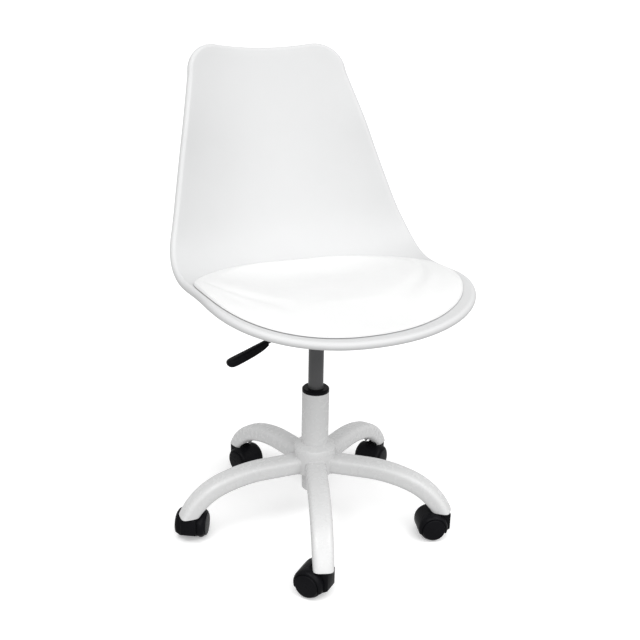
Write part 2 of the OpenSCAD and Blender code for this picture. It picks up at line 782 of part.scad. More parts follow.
// Sockets: steel tubes welded inside the arm ends, trimmed to the arm's inner face
module caster_sockets() {
    socket_r = stem_d/2 + socket_wall;
    color("dimgray") for (k = [1:arm_count]) rotate([0, 0, arm_turn(k)]) difference() {
        intersection() {
            translate([stem_x, 0, arm_end_z]) cylinder(r = socket_r, h = arm_z - arm_end_z);
            translate([tight_middle[0], 0, tight_middle[1]]) rotate([90, 0, 0])
                cylinder(r = tight_bend_r + arm_h/2 - arm_wall, h = arm_w, center = true);
        }
        translate([stem_x, 0, arm_end_z - over]) cylinder(d = stem_d, h = stem_len + gap + over);
    }
}

module at_caster(k) {
    rotate([0, 0, arm_turn(k)]) translate([stem_x, 0, 0])
        rotate([0, 0, caster_turns[k - 1] - arm_turn(k)]) children();
}

// Stem: a turned pin with a flange under the arm and a groove near its top
module caster_stem(k) {
    groove = stem_d*0.08;
    top = arm_end_z + stem_len;
    color("silver") at_caster(k) rotate_extrude() polygon([
        [0, stem_foot_z], [stem_d/2, stem_foot_z], [stem_d/2, hood_seat_z], [stem_flange_d/2, hood_seat_z],
        [stem_flange_d/2, arm_end_z], [stem_d/2, arm_end_z], [stem_d/2, top - 6*groove],
        [stem_d/2 - groove, top - 5*groove], [stem_d/2 - groove, top - 4*groove],
        [stem_d/2, top - 3*groove], [stem_d/2, top - groove], [stem_d/2 - groove, top], [0, top]
    ]);
}

// Side view of the hood: a round fender, a flat face under the arm, a sloping underside
module hood_side() {
    tail_z = wheel_r - axle_d;
    difference() {
        union() {
            translate([trail, wheel_r]) circle(r = hood_r);
            translate([-hood_w/2, 0]) square([hood_w/2 + trail, hood_recess_z]);
        }
        polygon([
            [-hood_w, -hood_r], [-hood_w, hood_face_z], [-hood_w/2, hood_face_z], [axle_d*0.75, hood_foot_z],
            [trail + axle_d*0.75, hood_foot_z], [trail + hood_r*0.45, tail_z],
            [trail + 2*hood_r, tail_z], [trail + 2*hood_r, -hood_r]
        ]);
    }
}

module hood_hollow() {
    translate([trail, wheel_r]) circle(r = hood_r - hood_t);
    translate([hood_t - hood_w/2, -over]) square([hood_w/2 + trail - hood_t, hood_recess_z - hood_t + over]);
}

module hood_slab(w) {
    rotate([90, 0, 0]) linear_extrude(w, center = true) children();
}

// Hood: a moulding open below, with a middle web, the axle's boss and the stem's tower. The
// arm's end turns in a round recess in its top.
module caster_hood(k) {
    color("black") at_caster(k) difference() {
        union() {
            difference() {
                hood_slab(hood_w) hood_side();
                hood_slab(hood_w - 2*hood_t) hood_hollow();
            }
            hood_slab(hood_t) hood_side();
            intersection() {
                hood_slab(hood_w) hood_side();
                union() {
                    cylinder(d = stem_d + 2*socket_wall, h = hood_recess_z);
                    translate([trail, 0, wheel_r]) rotate([90, 0, 0])
                        cylinder(d = hub_boss_d, h = hood_w, center = true);
                }
            }
        }
        translate([0, 0, hood_recess_z]) cylinder(r = hood_recess_r, h = hood_r);
        translate([0, 0, stem_foot_z - gap]) cylinder(d = stem_d + 2*run_gap, h = arm_end_z);
        translate([trail, 0, wheel_r]) rotate([90, 0, 0])
            cylinder(d = axle_d, h = hood_w + 2*over, center = true);
    }
}

module caster_axle(k) {
    color("silver") at_caster(k) translate([trail, 0, wheel_r]) rotate([90, 0, 0])
        cylinder(d = axle_d, h = axle_len, center = true);
}

// Wheel: a tread with a full round shoulder, a hollow inner side and a disc inside a groove
module wheel(k, side) {
    shoulder_w = wheel_w*0.5;
    disc_r = wheel_r*0.8;
    groove = wheel_w*0.08;
    shoulder_r = wheel_r - disc_r - groove;
    rim_t = wheel_w*0.3;
    bore = axle_d/2 + run_gap;
    bore_depth = (axle_len - hood_w)/2;
    color("black") at_caster(k) translate([trail, 0, wheel_r]) rotate([side*90, 0, 0])
        translate([0, 0, wheel_inner]) rotate_extrude() difference() {
            polygon(concat([[0, 0], [wheel_r, 0]],
                [for (i = [0:corner_steps]) let(a = 90*i/corner_steps)
                    [wheel_r - shoulder_r*(1 - cos(a)), wheel_w - shoulder_w*(1 - sin(a))]],
                [[0, wheel_w]]));
            translate([disc_r, wheel_w - 1.5*groove]) square([groove, 2*groove + over]);
            translate([bore + rim_t, -over]) square([disc_r - bore - 2*rim_t, wheel_w/2 + over]);
            translate([-over, -over]) square([bore + over, bore_depth + over]);
        }
}

seat_shell();
threaded_inserts();
seat_pad();
pad_board();
mounting_plate();
rubber_washers();
plate_bolts();
socket_bracket();
taper_socket();
lever_pivot_pin();
lever_rod();
lever_handle();
pressure_tube();
valve_button();
piston_rod();
piston_seal();
bump_stop();
bearing_upper_race();
bearing_cage();
bearing_balls();
bearing_lower_race();
retaining_clip();
guide_bush();
column_tube();
base_hub();
hub_cap();
caster_sockets();
base_arm(1);  // base_arm_1
base_arm(2);  // base_arm_2
base_arm(3);  // base_arm_3
base_arm(4);  // base_arm_4
base_arm(5);  // base_arm_5
caster_stem(1);  // caster_stem_1
caster_stem(2);  // caster_stem_2
caster_stem(3);  // caster_stem_3
caster_stem(4);  // caster_stem_4
caster_stem(5);  // caster_stem_5
caster_hood(1);  // caster_hood_1
caster_hood(2);  // caster_hood_2
caster_hood(3);  // caster_hood_3
caster_hood(4);  // caster_hood_4
caster_hood(5);  // caster_hood_5
caster_axle(1);  // caster_axle_1
caster_axle(2);  // caster_axle_2
caster_axle(3);  // caster_axle_3
caster_axle(4);  // caster_axle_4
caster_axle(5);  // caster_axle_5
wheel(1, 1);  // wheel_1_left
wheel(2, 1);  // wheel_2_left
wheel(3, 1);  // wheel_3_left
wheel(4, 1);  // wheel_4_left
wheel(5, 1);  // wheel_5_left
wheel(1, -1);  // wheel_1_right
wheel(2, -1);  // wheel_2_right
wheel(3, -1);  // wheel_3_right
wheel(4, -1);  // wheel_4_right
wheel(5, -1);  // wheel_5_right
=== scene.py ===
import math

import bmesh
import bpy
import numpy as np
from mathutils import Matrix, Vector
from mathutils.kdtree import KDTree


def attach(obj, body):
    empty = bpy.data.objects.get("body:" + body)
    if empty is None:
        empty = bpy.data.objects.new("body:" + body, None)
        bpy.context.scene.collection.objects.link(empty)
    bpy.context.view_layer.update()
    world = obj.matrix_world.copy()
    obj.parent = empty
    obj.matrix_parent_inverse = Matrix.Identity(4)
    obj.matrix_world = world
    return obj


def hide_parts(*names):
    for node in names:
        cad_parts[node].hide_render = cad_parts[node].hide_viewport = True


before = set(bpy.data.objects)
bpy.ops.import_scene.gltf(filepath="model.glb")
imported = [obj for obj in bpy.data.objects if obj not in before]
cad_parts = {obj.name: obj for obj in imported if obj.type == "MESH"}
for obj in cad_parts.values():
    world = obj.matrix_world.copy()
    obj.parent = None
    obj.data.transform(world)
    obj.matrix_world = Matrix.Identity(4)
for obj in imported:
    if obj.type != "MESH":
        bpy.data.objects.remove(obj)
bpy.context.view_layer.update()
scene = bpy.context.scene
scene.view_settings.view_transform = "Standard"

# Camera. The photographer stands ahead of the chair, a little to the sitter's right,
# and looks down on it from about chest height.
camera_data = bpy.data.cameras.new("camera")
camera_data.sensor_width, camera_data.lens = 36, 50.6
camera = bpy.data.objects.new("camera", camera_data)
camera.location = (-0.56586, -1.39144, 0.9568)
camera.rotation_euler = [math.radians(a) for a in (69.680, -0.994, -21.974)]
scene.collection.objects.link(camera)
scene.camera = camera

# Arms: five legs of bent steel tube, pressed to a soft oval, mitred to the hub and welded
# there. Each ends in a level cut with an arched notch underneath, where the caster's
# socket shows. The base has one coat of white powder, with its faint orange peel.
MM = 0.001


def material_base(name, metallic=0.0):
    """A new material with its shader and the object's own coordinates."""
    material = bpy.data.materials.new(name)
    material.use_nodes = True
    tree = material.node_tree
    shader = tree.nodes["Principled BSDF"]
    shader.inputs["Metallic"].default_value = metallic
    place = tree.nodes.new("ShaderNodeTexCoord")
    return material, tree, shader, place.outputs["Object"]


def noise(tree, place, scale, detail=3.0, rough=0.55):
    """A noise texture's value."""
    texture = tree.nodes.new("ShaderNodeTexNoise")
    texture.inputs["Scale"].default_value = scale
    texture.inputs["Detail"].default_value = detail
    texture.inputs["Roughness"].default_value = rough
    tree.links.new(place, texture.inputs["Vector"])
    return texture.outputs["Fac"]


def spread(tree, value, low, high):
    """Maps the middle of a noise to a span."""
    node = tree.nodes.new("ShaderNodeMapRange")
    node.inputs["From Min"].default_value = 0.3
    node.inputs["From Max"].default_value = 0.7
    node.inputs["To Min"].default_value = low
    node.inputs["To Max"].default_value = high
    tree.links.new(value, node.inputs["Value"])
    return node.outputs["Result"]


def blend_colour(tree, value, first, second):
    """A mix of two colours by a value."""
    node = tree.nodes.new("ShaderNodeMix")
    node.data_type = "RGBA"
    node.inputs["A"].default_value = (*first, 1)
    node.inputs["B"].default_value = (*second, 1)
    tree.links.new(value, node.inputs["Factor"])
    return node.outputs["Result"]


def relief(tree, shader, height, depth, strength=1.0):
    """A fine bump on the shader, with its depth in metres."""
    node = tree.nodes.new("ShaderNodeBump")
    node.inputs["Strength"].default_value = strength
    node.inputs["Distance"].default_value = depth
    tree.links.new(height, node.inputs["Height"])
    tree.links.new(node.outputs["Normal"], shader.inputs["Normal"])
    return node


def coat(name, first, second, rough, peel, depth, mottle=14.0, metallic=0.0, shine=0.5):
    """A paint, plastic or plain metal: a slight change of tone and gloss over a fine relief."""
    material, tree, shader, place = material_base(name, metallic)
    shader.inputs["Specular IOR Level"].default_value = shine
    tone = noise(tree, place, mottle)
    tree.links.new(
        blend_colour(tree, spread(tree, tone, 0, 1), first, second), shader.inputs["Base Color"]
    )
    wear = noise(tree, place, mottle * 6, 5.0)
    tree.links.new(spread(tree, wear, *rough), shader.inputs["Roughness"])
    relief(tree, shader, noise(tree, place, peel, 2.0), depth)
    return material


powder_white = coat(
    "powder_white", (0.66, 0.662, 0.662), (0.668, 0.67, 0.67), (0.25, 0.29), 450, 0.000004
)


def mesh_piece(name, vertices, faces, material, sharp=35, scale=MM):
    """A piece from points in millimetres, with its normals outwards and its creases marked."""
    mesh = bpy.data.meshes.new(name)
    mesh.from_pydata([tuple(scale * c for c in v) for v in vertices], [], faces)
    shape = bmesh.new()
    shape.from_mesh(mesh)
    bmesh.ops.remove_doubles(shape, verts=shape.verts, dist=0.00001)
    bmesh.ops.recalc_face_normals(shape, faces=shape.faces)
    shape.to_mesh(mesh)
    shape.free()
    mesh.shade_smooth()
    mesh.set_sharp_from_angle(angle=math.radians(sharp))
    mesh.materials.append(material)
    piece = bpy.data.objects.new(name, mesh)
    scene.collection.objects.link(piece)
    return piece


def settle(piece, sharp=35):
    """Turns what the modifiers make into the piece's own plain mesh."""
    graph = bpy.context.evaluated_depsgraph_get()
    made = bpy.data.meshes.new_from_object(piece.evaluated_get(graph), depsgraph=graph)
    piece.modifiers.clear()
    old, piece.data = piece.data, made
    bpy.data.meshes.remove(old)
    made.name = piece.name
    made.shade_smooth()
    made.set_sharp_from_angle(angle=math.radians(sharp))
    return piece


def node_tree(name, inputs):
    """An empty geometry tree with named inputs after its geometry."""
    tree = bpy.data.node_groups.new(name, "GeometryNodeTree")
    tree.interface.new_socket("Geometry", in_out="INPUT", socket_type="NodeSocketGeometry")
    for title, kind, value in inputs:
        socket = tree.interface.new_socket(title, in_out="INPUT", socket_type=kind)
        if value is not None:
            socket.default_value = value
    tree.interface.new_socket("Geometry", in_out="OUTPUT", socket_type="NodeSocketGeometry")
    return tree, tree.nodes.new("NodeGroupInput"), tree.nodes.new("NodeGroupOutput")


def grow(piece, tree, values):
    """Runs a geometry tree on a piece, with its inputs set by their names."""
    modifier = piece.modifiers.new(tree.name, "NODES")
    modifier.node_group = tree
    known = {s.name: s.identifier for s in tree.interface.items_tree if s.in_out == "INPUT"}
    for title, value in values.items():
        modifier[known[title]] = value
    return modifier


def finish_tree(tree, shape, inputs, output):
    """Ends a tree in plain geometry with its material."""
    real = tree.nodes.new("GeometryNodeRealizeInstances")
    painted = tree.nodes.new("GeometryNodeSetMaterial")
    tree.links.new(shape, real.inputs["Geometry"])
    tree.links.new(real.outputs["Geometry"], painted.inputs["Geometry"])
    tree.links.new(inputs.outputs["Finish"], painted.inputs["Material"])
    tree.links.new(painted.outputs["Geometry"], output.inputs["Geometry"])


ARM_COUNT, HUB_R = 5, 39.5
ARM_W, ARM_H, ARM_WALL = 37, 30, 1.8
ARM_Z, ARM_END_Z = 118.5, 52
ARM_BEND_X, LONG_R, TIGHT_R = 100, 240, 115
LONG_TURN = math.asin(0.352)
TIGHT_X = ARM_BEND_X + (LONG_R - TIGHT_R) * math.sin(LONG_TURN)
TIGHT_Z = ARM_Z - LONG_R + (LONG_R - TIGHT_R) * math.cos(LONG_TURN)
NOTCH_HALF, NOTCH_TURN = ARM_W * 0.365, math.radians(49)
NOTCH_POINTS, ROUND_POINTS = 9, 42
ROOT_STEPS, LONG_STEPS, TIGHT_STEPS, NOTCH_STEPS = 6, 11, 11, 13
FIRST_TURN, ARM_TURN = math.radians(-108), 2 * math.pi / ARM_COUNT
OVAL, EDGE_SOFT = 3.7, 0.5
ROOT_WIDER, ROOT_TALLER, END_NARROWER = 0.07, 0.1, 0.03


def oval_point(a, b, t, power):
    """A point of an oval with half axes a and b; a power below 1 squares it."""
    c, s = math.cos(t), math.sin(t)
    return a * math.copysign(abs(c) ** power, c), b * math.copysign(abs(s) ** power, s)


def arm_section(inset):
    """Points round the tube's section, across and outwards; those of the notch come first."""
    a, b = ARM_W / 2 - inset, ARM_H / 2 - inset
    across = np.linspace(-NOTCH_HALF, NOTCH_HALF, NOTCH_POINTS)
    notch = [(u, -b * (1 - abs(u / a) ** OVAL) ** (1 / OVAL)) for u in across]
    start = math.atan2(-1, (NOTCH_HALF / a) ** (OVAL / 2))
    turns = np.linspace(start, math.pi - start, ROUND_POINTS)[1:-1]
    return notch + [oval_point(a, b, t, 2 / OVAL) for t in turns]


def arm_wall(inset):
    """Rows of points along the tube, from its mitre to its cut end."""
    lines = []
    for u, v in arm_section(inset):
        notched = abs(u) <= NOTCH_HALF + 1e-6 and v < 0
        arch = math.sqrt(max(0, NOTCH_HALF**2 - u * u)) if notched else 0
        opens = NOTCH_TURN - arch / (TIGHT_R - ARM_H / 2)
        ends = math.acos((ARM_END_Z - TIGHT_Z) / (TIGHT_R + v))
        root = math.sqrt((HUB_R - 1) ** 2 - (u * (1 + ROOT_WIDER)) ** 2)
        way = [(x, 0, ARM_Z, 0) for x in np.linspace(root, ARM_BEND_X, ROOT_STEPS)]
        for x, radius, z, first, last, steps in (
            (ARM_BEND_X, LONG_R, ARM_Z - LONG_R, 0, LONG_TURN, LONG_STEPS),
            (TIGHT_X, TIGHT_R, TIGHT_Z, LONG_TURN, opens, TIGHT_STEPS),
            (TIGHT_X, TIGHT_R, TIGHT_Z, opens, ends, NOTCH_STEPS),
        ):
            way += [(x, radius, z, t) for t in np.linspace(first, last, steps + 1)[1:]]
        line = []
        for i, (x, radius, z, t) in enumerate(way):
            share = i / (len(way) - 1)
            wide = 1 + ROOT_WIDER * (1 - share) - END_NARROWER * share
            off = radius + v * (1 + ROOT_TALLER * (1 - share))
            line.append((x + off * math.sin(t), u * wide, z + off * math.cos(t)))
        lines.append(line)
    return [list(row) for row in zip(*lines)]


outer, inner = arm_wall(0), arm_wall(ARM_WALL)
notch_row = ROOT_STEPS + LONG_STEPS + TIGHT_STEPS - 1
row_len = len(outer[0])
points = [p for row in outer + inner for p in row]
inner_start = len(outer) * row_len
faces = []
edges = {}  # keeps its order, which a set doesn't
for i in range(len(outer) - 1):
    for j in range(row_len):
        if i >= notch_row and j < NOTCH_POINTS - 1:
            continue
        k = (j + 1) % row_len
        corners = [i * row_len + j, i * row_len + k, (i + 1) * row_len + k, (i + 1) * row_len + j]
        faces.append(corners)
        faces.append([c + inner_start for c in reversed(corners)])
        for a, b in zip(corners, corners[1:] + corners[:1]):
            edges[a, b] = True
for a, b in edges:
    if (b, a) not in edges:
        faces.append([b, a, a + inner_start, b + inner_start])
arms = mesh_piece("arms", points, faces, powder_white, 40)
softened = arms.modifiers.new("softened", "BEVEL")
softened.width = EDGE_SOFT * MM
softened.segments = 2
softened.limit_method = "ANGLE"
softened.angle_limit = math.radians(50)

ring, inputs, output = node_tree(
    "copies_in_a_ring",
    [
        ("Count", "NodeSocketInt", ARM_COUNT),
        ("First turn", "NodeSocketFloat", FIRST_TURN),
        ("Finish", "NodeSocketMaterial", None),
    ],
)
places = ring.nodes.new("GeometryNodePoints")
index = ring.nodes.new("GeometryNodeInputIndex")
share = ring.nodes.new("ShaderNodeMath")
share.operation = "DIVIDE"
turn = ring.nodes.new("ShaderNodeMath")
turn.operation = "MULTIPLY_ADD"
turn.inputs[1].default_value = 2 * math.pi
upright = ring.nodes.new("ShaderNodeCombineXYZ")
copies = ring.nodes.new("GeometryNodeInstanceOnPoints")
ring.links.new(inputs.outputs["Count"], places.inputs["Count"])
ring.links.new(index.outputs[0], share.inputs[0])
ring.links.new(inputs.outputs["Count"], share.inputs[1])
ring.links.new(share.outputs[0], turn.inputs[0])
ring.links.new(inputs.outputs["First turn"], turn.inputs[2])
ring.links.new(turn.outputs[0], upright.inputs["Z"])
ring.links.new(places.outputs[0], copies.inputs["Points"])
ring.links.new(inputs.outputs["Geometry"], copies.inputs["Instance"])
ring.links.new(upright.outputs[0], copies.inputs["Rotation"])
finish_tree(ring, copies.outputs[0], inputs, output)
grow(arms, ring, {"Finish": powder_white})
settle(arms, 40)
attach(arms, "base")
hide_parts(*[f"base_arm_{k}" for k in range(1, 6)])

# Weld beads: the arc weld that joins each leg to the hub, a low rippled ridge of steel
# all round the tube, under the same white powder.
BEAD_R, BEAD_STEP, BEAD_RIPPLE, BEAD_OFF = 0.8, 2.2, 0.2, 0.1
RIPPLE_MEAN, RIPPLE_SCALE = 0.8, 420

bead_points, bead_edges = [], []
for k in range(ARM_COUNT):
    turn_k = FIRST_TURN + k * ARM_TURN
    start = len(bead_points)
    section = [(u * (1 + ROOT_WIDER), v * (1 + ROOT_TALLER)) for u, v in arm_section(-BEAD_OFF)]
    for u, v in section:
        x = math.sqrt(HUB_R**2 - u * u) + BEAD_OFF
        bead_points.append(
            (
                x * math.cos(turn_k) - u * math.sin(turn_k),
                x * math.sin(turn_k) + u * math.cos(turn_k),
                ARM_Z + v,
            )
        )
    count = len(section)
    bead_edges += [(start + i, start + (i + 1) % count) for i in range(count)]
bead_mesh = bpy.data.meshes.new("weld_beads")
bead_mesh.from_pydata([tuple(MM * c for c in p) for p in bead_points], bead_edges, [])
weld_beads = bpy.data.objects.new("weld_beads", bead_mesh)
scene.collection.objects.link(weld_beads)

bead, inputs, output = node_tree(
    "bead_along_edge",
    [
        ("Radius", "NodeSocketFloat", BEAD_R * MM),
        ("Step", "NodeSocketFloat", BEAD_STEP * MM),
        ("Ripple", "NodeSocketFloat", BEAD_RIPPLE),
        ("Sides", "NodeSocketInt", 8),
        ("Finish", "NodeSocketMaterial", None),
    ],
)
line = bead.nodes.new("GeometryNodeMeshToCurve")
even = bead.nodes.new("GeometryNodeResampleCurve")
even.mode = "LENGTH"
place = bead.nodes.new("GeometryNodeInputPosition")
grain = bead.nodes.new("ShaderNodeTexNoise")
grain.inputs["Scale"].default_value = RIPPLE_SCALE
size = bead.nodes.new("ShaderNodeMath")
size.operation = "MULTIPLY_ADD"
size.inputs[2].default_value = RIPPLE_MEAN
round_wire = bead.nodes.new("GeometryNodeCurvePrimitiveCircle")
swept = bead.nodes.new("GeometryNodeCurveToMesh")
swept.inputs["Fill Caps"].default_value = True
bead.links.new(inputs.outputs["Geometry"], line.inputs[0])
bead.links.new(line.outputs[0], even.inputs["Curve"])
bead.links.new(inputs.outputs["Step"], even.inputs["Length"])
bead.links.new(place.outputs[0], grain.inputs["Vector"])
bead.links.new(grain.outputs["Fac"], size.inputs[0])
bead.links.new(inputs.outputs["Ripple"], size.inputs[1])
bead.links.new(inputs.outputs["Sides"], round_wire.inputs["Resolution"])
bead.links.new(inputs.outputs["Radius"], round_wire.inputs["Radius"])
bead.links.new(even.outputs[0], swept.inputs["Curve"])
bead.links.new(round_wire.outputs[0], swept.inputs["Profile Curve"])
bead.links.new(size.outputs[0], swept.inputs["Scale"])
finish_tree(bead, swept.outputs[0], inputs, output)
grow(weld_beads, bead, {"Finish": powder_white})
settle(weld_beads, 60)
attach(weld_beads, "base")

# Hub: a turned steel body round the column's foot, with a sloping top and a soft shoulder.
# The legs are welded to its side, and it is powder coated with them. It stands for the
# plain hub and its cap.
COLUMN_R, HUB_TOP, HUB_SHOULDER, HUB_FOOT = 25.05, 160, 153.6, 103
HUB_SLOPE_IN, HUB_SHOULDER_H, HUB_SOFT = 1.3, 5.6, 2.6


def turned(profile, segments=72):
    """Points and faces of a profile of (radius, height) turned about Z; radius 0 is a pole."""
    rows, made, faces = [], [], []
    for r, z in profile:
        if r < 1e-6:
            rows.append([len(made)])
            made.append((0, 0, z))
        else:
            rows.append(range(len(made), len(made) + segments))
            for i in range(segments):
                t = 2 * math.pi * i / segments
                made.append((r * math.cos(t), r * math.sin(t), z))
    for low, high in zip(rows, rows[1:]):
        for i in range(segments):
            k = (i + 1) % segments
            a, b = low[i % len(low)], low[k % len(low)]
            c, d = high[k % len(high)], high[i % len(high)]
            faces.append([p for n, p in enumerate((a, b, c, d)) if p not in (a, b, c, d)[:n]])
    return made, [f for f in faces if len(f) > 2]


def rounded(profile, radius, steps=3):
    """A profile with each inner corner rounded."""
    made = [profile[0]]
    for a, b, c in zip(profile, profile[1:], profile[2:]):
        a, b, c = Vector(a), Vector(b), Vector(c)
        cut = min(radius, (a - b).length * 0.45, (c - b).length * 0.45)
        first, last = b + (a - b).normalized() * cut, b + (c - b).normalized() * cut
        for i in range(steps + 1):
            t = i / steps
            made.append(tuple(first * (1 - t) ** 2 + 2 * b * t * (1 - t) + last * t * t))
    return made + [profile[-1]]


hub_side = [
    (COLUMN_R, HUB_TOP),
    (HUB_R - HUB_SLOPE_IN, HUB_SHOULDER),
    (HUB_R, HUB_SHOULDER - HUB_SHOULDER_H),
    (HUB_R, HUB_FOOT),
    (COLUMN_R, HUB_FOOT),
]
bore_start = (COLUMN_R, HUB_FOOT + 1)
hub_profile = [bore_start] + rounded(hub_side, HUB_SOFT, 5) + [bore_start]
hub_body = mesh_piece("hub_body", *turned(hub_profile, 120), powder_white, 30)
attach(hub_body, "base")
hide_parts("base_hub", "hub_cap")

# Column, gas lift, plate, bracket, lever rod, stems, axles, bearing, rubber parts, inserts
# and the pad's board: turned, pressed and moulded parts of plain form. The CAD solids stay
# and get their finish: powder coat, paint, zinc, ground steel, nylon, rubber, brass, birch.
steel_bright = coat(
    "steel_bright", (0.55, 0.56, 0.57), (0.66, 0.66, 0.66), (0.18, 0.3), 900, 0.00001, 30, 1.0
)
steel_dark = coat(
    "steel_dark", (0.075, 0.076, 0.078), (0.09, 0.09, 0.092), (0.3, 0.42), 800, 0.00002, 20, 0.2
)
steel_plain = coat(
    "steel_plain", (0.5, 0.5, 0.5), (0.6, 0.6, 0.595), (0.4, 0.52), 500, 0.00003, 22, 0.3
)
steel_black = coat(
    "steel_black", (0.02, 0.02, 0.021), (0.03, 0.03, 0.031), (0.35, 0.5), 600, 0.00003, 18
)
nylon_black = coat(
    "nylon_black", (0.005, 0.005, 0.006), (0.007, 0.007, 0.0083), (0.24, 0.34), 900, 0.000008, 25,
    shine=0.06,
)
rubber_black = coat(
    "rubber_black", (0.014, 0.014, 0.014), (0.02, 0.02, 0.02), (0.6, 0.75), 500, 0.00006, 25,
    shine=0.25,
)
brass_turned = coat(
    "brass_turned", (0.72, 0.5, 0.22), (0.8, 0.58, 0.28), (0.25, 0.38), 700, 0.00002, 30, 1.0
)


def plywood():
    """Birch plywood: long grain across the board, with darker pores."""
    material, tree, shader, place = material_base("plywood_birch")
    stretch = tree.nodes.new("ShaderNodeMapping")
    stretch.inputs["Scale"].default_value = (6, 120, 120)
    tree.links.new(place, stretch.inputs["Vector"])
    fibre = noise(tree, stretch.outputs["Vector"], 1.0, 6.0, 0.7)
    tree.links.new(
        blend_colour(tree, spread(tree, fibre, 0, 1), (0.42, 0.27, 0.14), (0.68, 0.5, 0.31)),
        shader.inputs["Base Color"],
    )
    tree.links.new(spread(tree, fibre, 0.5, 0.7), shader.inputs["Roughness"])
    relief(tree, shader, fibre, 0.0002)
    return material


finishes = {
    powder_white: ["column_tube"],
    steel_bright: [
        "lever_pivot_pin", "valve_button", "piston_rod", "bearing_upper_race", "bearing_lower_race",
        "retaining_clip",
    ] + [f"caster_{p}_{k}" for p in ("stem", "axle") for k in range(1, ARM_COUNT + 1)],
    steel_dark: ["pressure_tube"],
    steel_plain: ["caster_sockets"],
    steel_black: ["mounting_plate", "socket_bracket", "taper_socket", "lever_rod"],
    nylon_black: ["guide_bush"],
    rubber_black: ["rubber_washers", "piston_seal", "bump_stop"],
    brass_turned: ["threaded_inserts", "bearing_cage"],
    plywood(): ["pad_board"],
}
for finish, names in finishes.items():
    for name in names:
        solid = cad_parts[name]
        solid.data.materials.clear()
        solid.data.materials.append(finish)

# Caster hoods: each is one black nylon moulding that turns on its stem: a round fender over
# both wheels, a flat face in front, a sloping underside, a hollow with the stem's boss, and
# a round recess under the leg's end. The wheels' discs show through its open sides.
STEM_X, TRAIL, WHEEL_R = 243.5, 18, 25
HOOD_W, HOOD_R, HOOD_T = 28, 27.4, 2.6
HOOD_FACE, HOOD_FACE_FOOT, HOOD_FOOT = -15.5, 18, 5.5
FOOT_START, FOOT_END, HOOD_SOFT = 4, 26, 1.3
HOOD_TOP, HOOD_RECESS_R = 50.1, 21.63
STEM_BOSS_R, STEM_BOSS_FOOT, STEM_BORE_R, AXLE_BOSS_R = 8.5, 12, 5.55, 7.6
CASTER_TURNS = (131, 165, 218, 293, 61)


def caster_matrix(k):
    """Where caster k stands, in millimetres: at its leg's end, turned the way that it trails."""
    leg = Matrix.Rotation(FIRST_TURN + k * ARM_TURN, 4, "Z")
    at = leg @ Vector((STEM_X, 0, 0))
    return Matrix.Translation(at) @ Matrix.Rotation(math.radians(CASTER_TURNS[k]), 4, "Z")


def prism(outline, half):
    """Points and faces of an outline in X and Z, drawn out to both sides along Y."""
    n = len(outline)
    points = [(x, side * half, z) for side in (-1, 1) for x, z in outline]
    faces = [list(range(n)), list(reversed(range(n, 2 * n)))]
    faces += [[i, (i + 1) % n, n + (i + 1) % n, n + i] for i in range(n)]
    return points, faces


def hood_outline(inset):
    """Side of the hood's middle: flat face, sloping underside and round fender."""
    radius = HOOD_R - inset
    fender = [
        (TRAIL + radius * math.cos(t), WHEEL_R + radius * math.sin(t))
        for t in np.radians(np.linspace(-18, 112, 34))
    ]
    face, top, foot = HOOD_FACE + inset, HOOD_TOP - inset, HOOD_FOOT + inset
    front = [(1, top), (face, top), (face, HOOD_FACE_FOOT + inset / 2)]
    return fender + front + [(FOOT_START, foot), (FOOT_END, foot)]


# Section of the fender over one wheel: places along the axle and their radii.
CHEEK_PROFILE = [
    (12.6, 25.5), (19.4, 25.5), (21.8, 25), (24, 23.8), (25.3, 22.3), (26.2, 21.9), (26.5, 22.4),
    (26.2, 23.4), (25, 24.9), (22.8, 26.3), (20.2, 27.1), (16.5, 27.4), (12.6, 27.4),
]


def capped_sweep(rows, width):
    """Faces of a body made of equal rings of points, one after the other, closed at both ends."""
    faces = [list(range(width)), [(rows - 1) * width + j for j in range(width)]]
    for i in range(rows - 1):
        for j in range(width):
            k = (j + 1) % width
            faces.append([i * width + j, i * width + k, (i + 1) * width + k, (i + 1) * width + j])
    return faces


def cheek(side):
    """Points and faces of the fender over one wheel, bent round the axle."""
    turns = np.radians(np.linspace(-20, 200, 67))
    points = [
        (TRAIL + r * math.cos(t), side * y, WHEEL_R + r * math.sin(t))
        for t in turns
        for y, r in CHEEK_PROFILE
    ]
    return points, capped_sweep(len(turns), len(CHEEK_PROFILE))


def cut(piece, cutter, operation="DIFFERENCE"):
    """Cuts one piece out of another, or joins it on, and drops it."""
    modifier = piece.modifiers.new("cut", "BOOLEAN")
    modifier.operation = operation
    modifier.solver = "EXACT"
    modifier.object = cutter
    settle(piece)
    bpy.data.objects.remove(cutter)


def rod(name, radius, foot, top):
    """A plain upright cylinder, to cut with."""
    profile = [(0, foot), (radius, foot), (radius, top), (0, top)]
    return mesh_piece(name, *turned(profile), nylon_black)


hood = mesh_piece("hood_pattern", *prism(hood_outline(0), HOOD_W / 2), nylon_black)
soft = hood.modifiers.new("soft", "BEVEL")
soft.width = HOOD_SOFT * MM
soft.segments = 3
soft.limit_method = "ANGLE"
soft.angle_limit = math.radians(28)
settle(hood)
for side in (-1, 1):
    cut(hood, mesh_piece("cheek", *cheek(side), nylon_black), "UNION")
cut(hood, rod("recess", HOOD_RECESS_R, HOOD_TOP, 80))
hollow = mesh_piece("hollow", *prism(hood_outline(HOOD_T), HOOD_W / 2 - HOOD_T), nylon_black)
cut(hollow, rod("boss", STEM_BOSS_R, STEM_BOSS_FOOT, 60))
axle_boss = rod("axle_boss", AXLE_BOSS_R, -20, 20)
axle_boss.data.transform(
    Matrix.Translation((TRAIL * MM, 0, WHEEL_R * MM)) @ Matrix.Rotation(math.pi / 2, 4, "X")
)
cut(hollow, axle_boss)
cut(hood, hollow)
cut(hood, rod("bore", STEM_BORE_R, 5, 60))

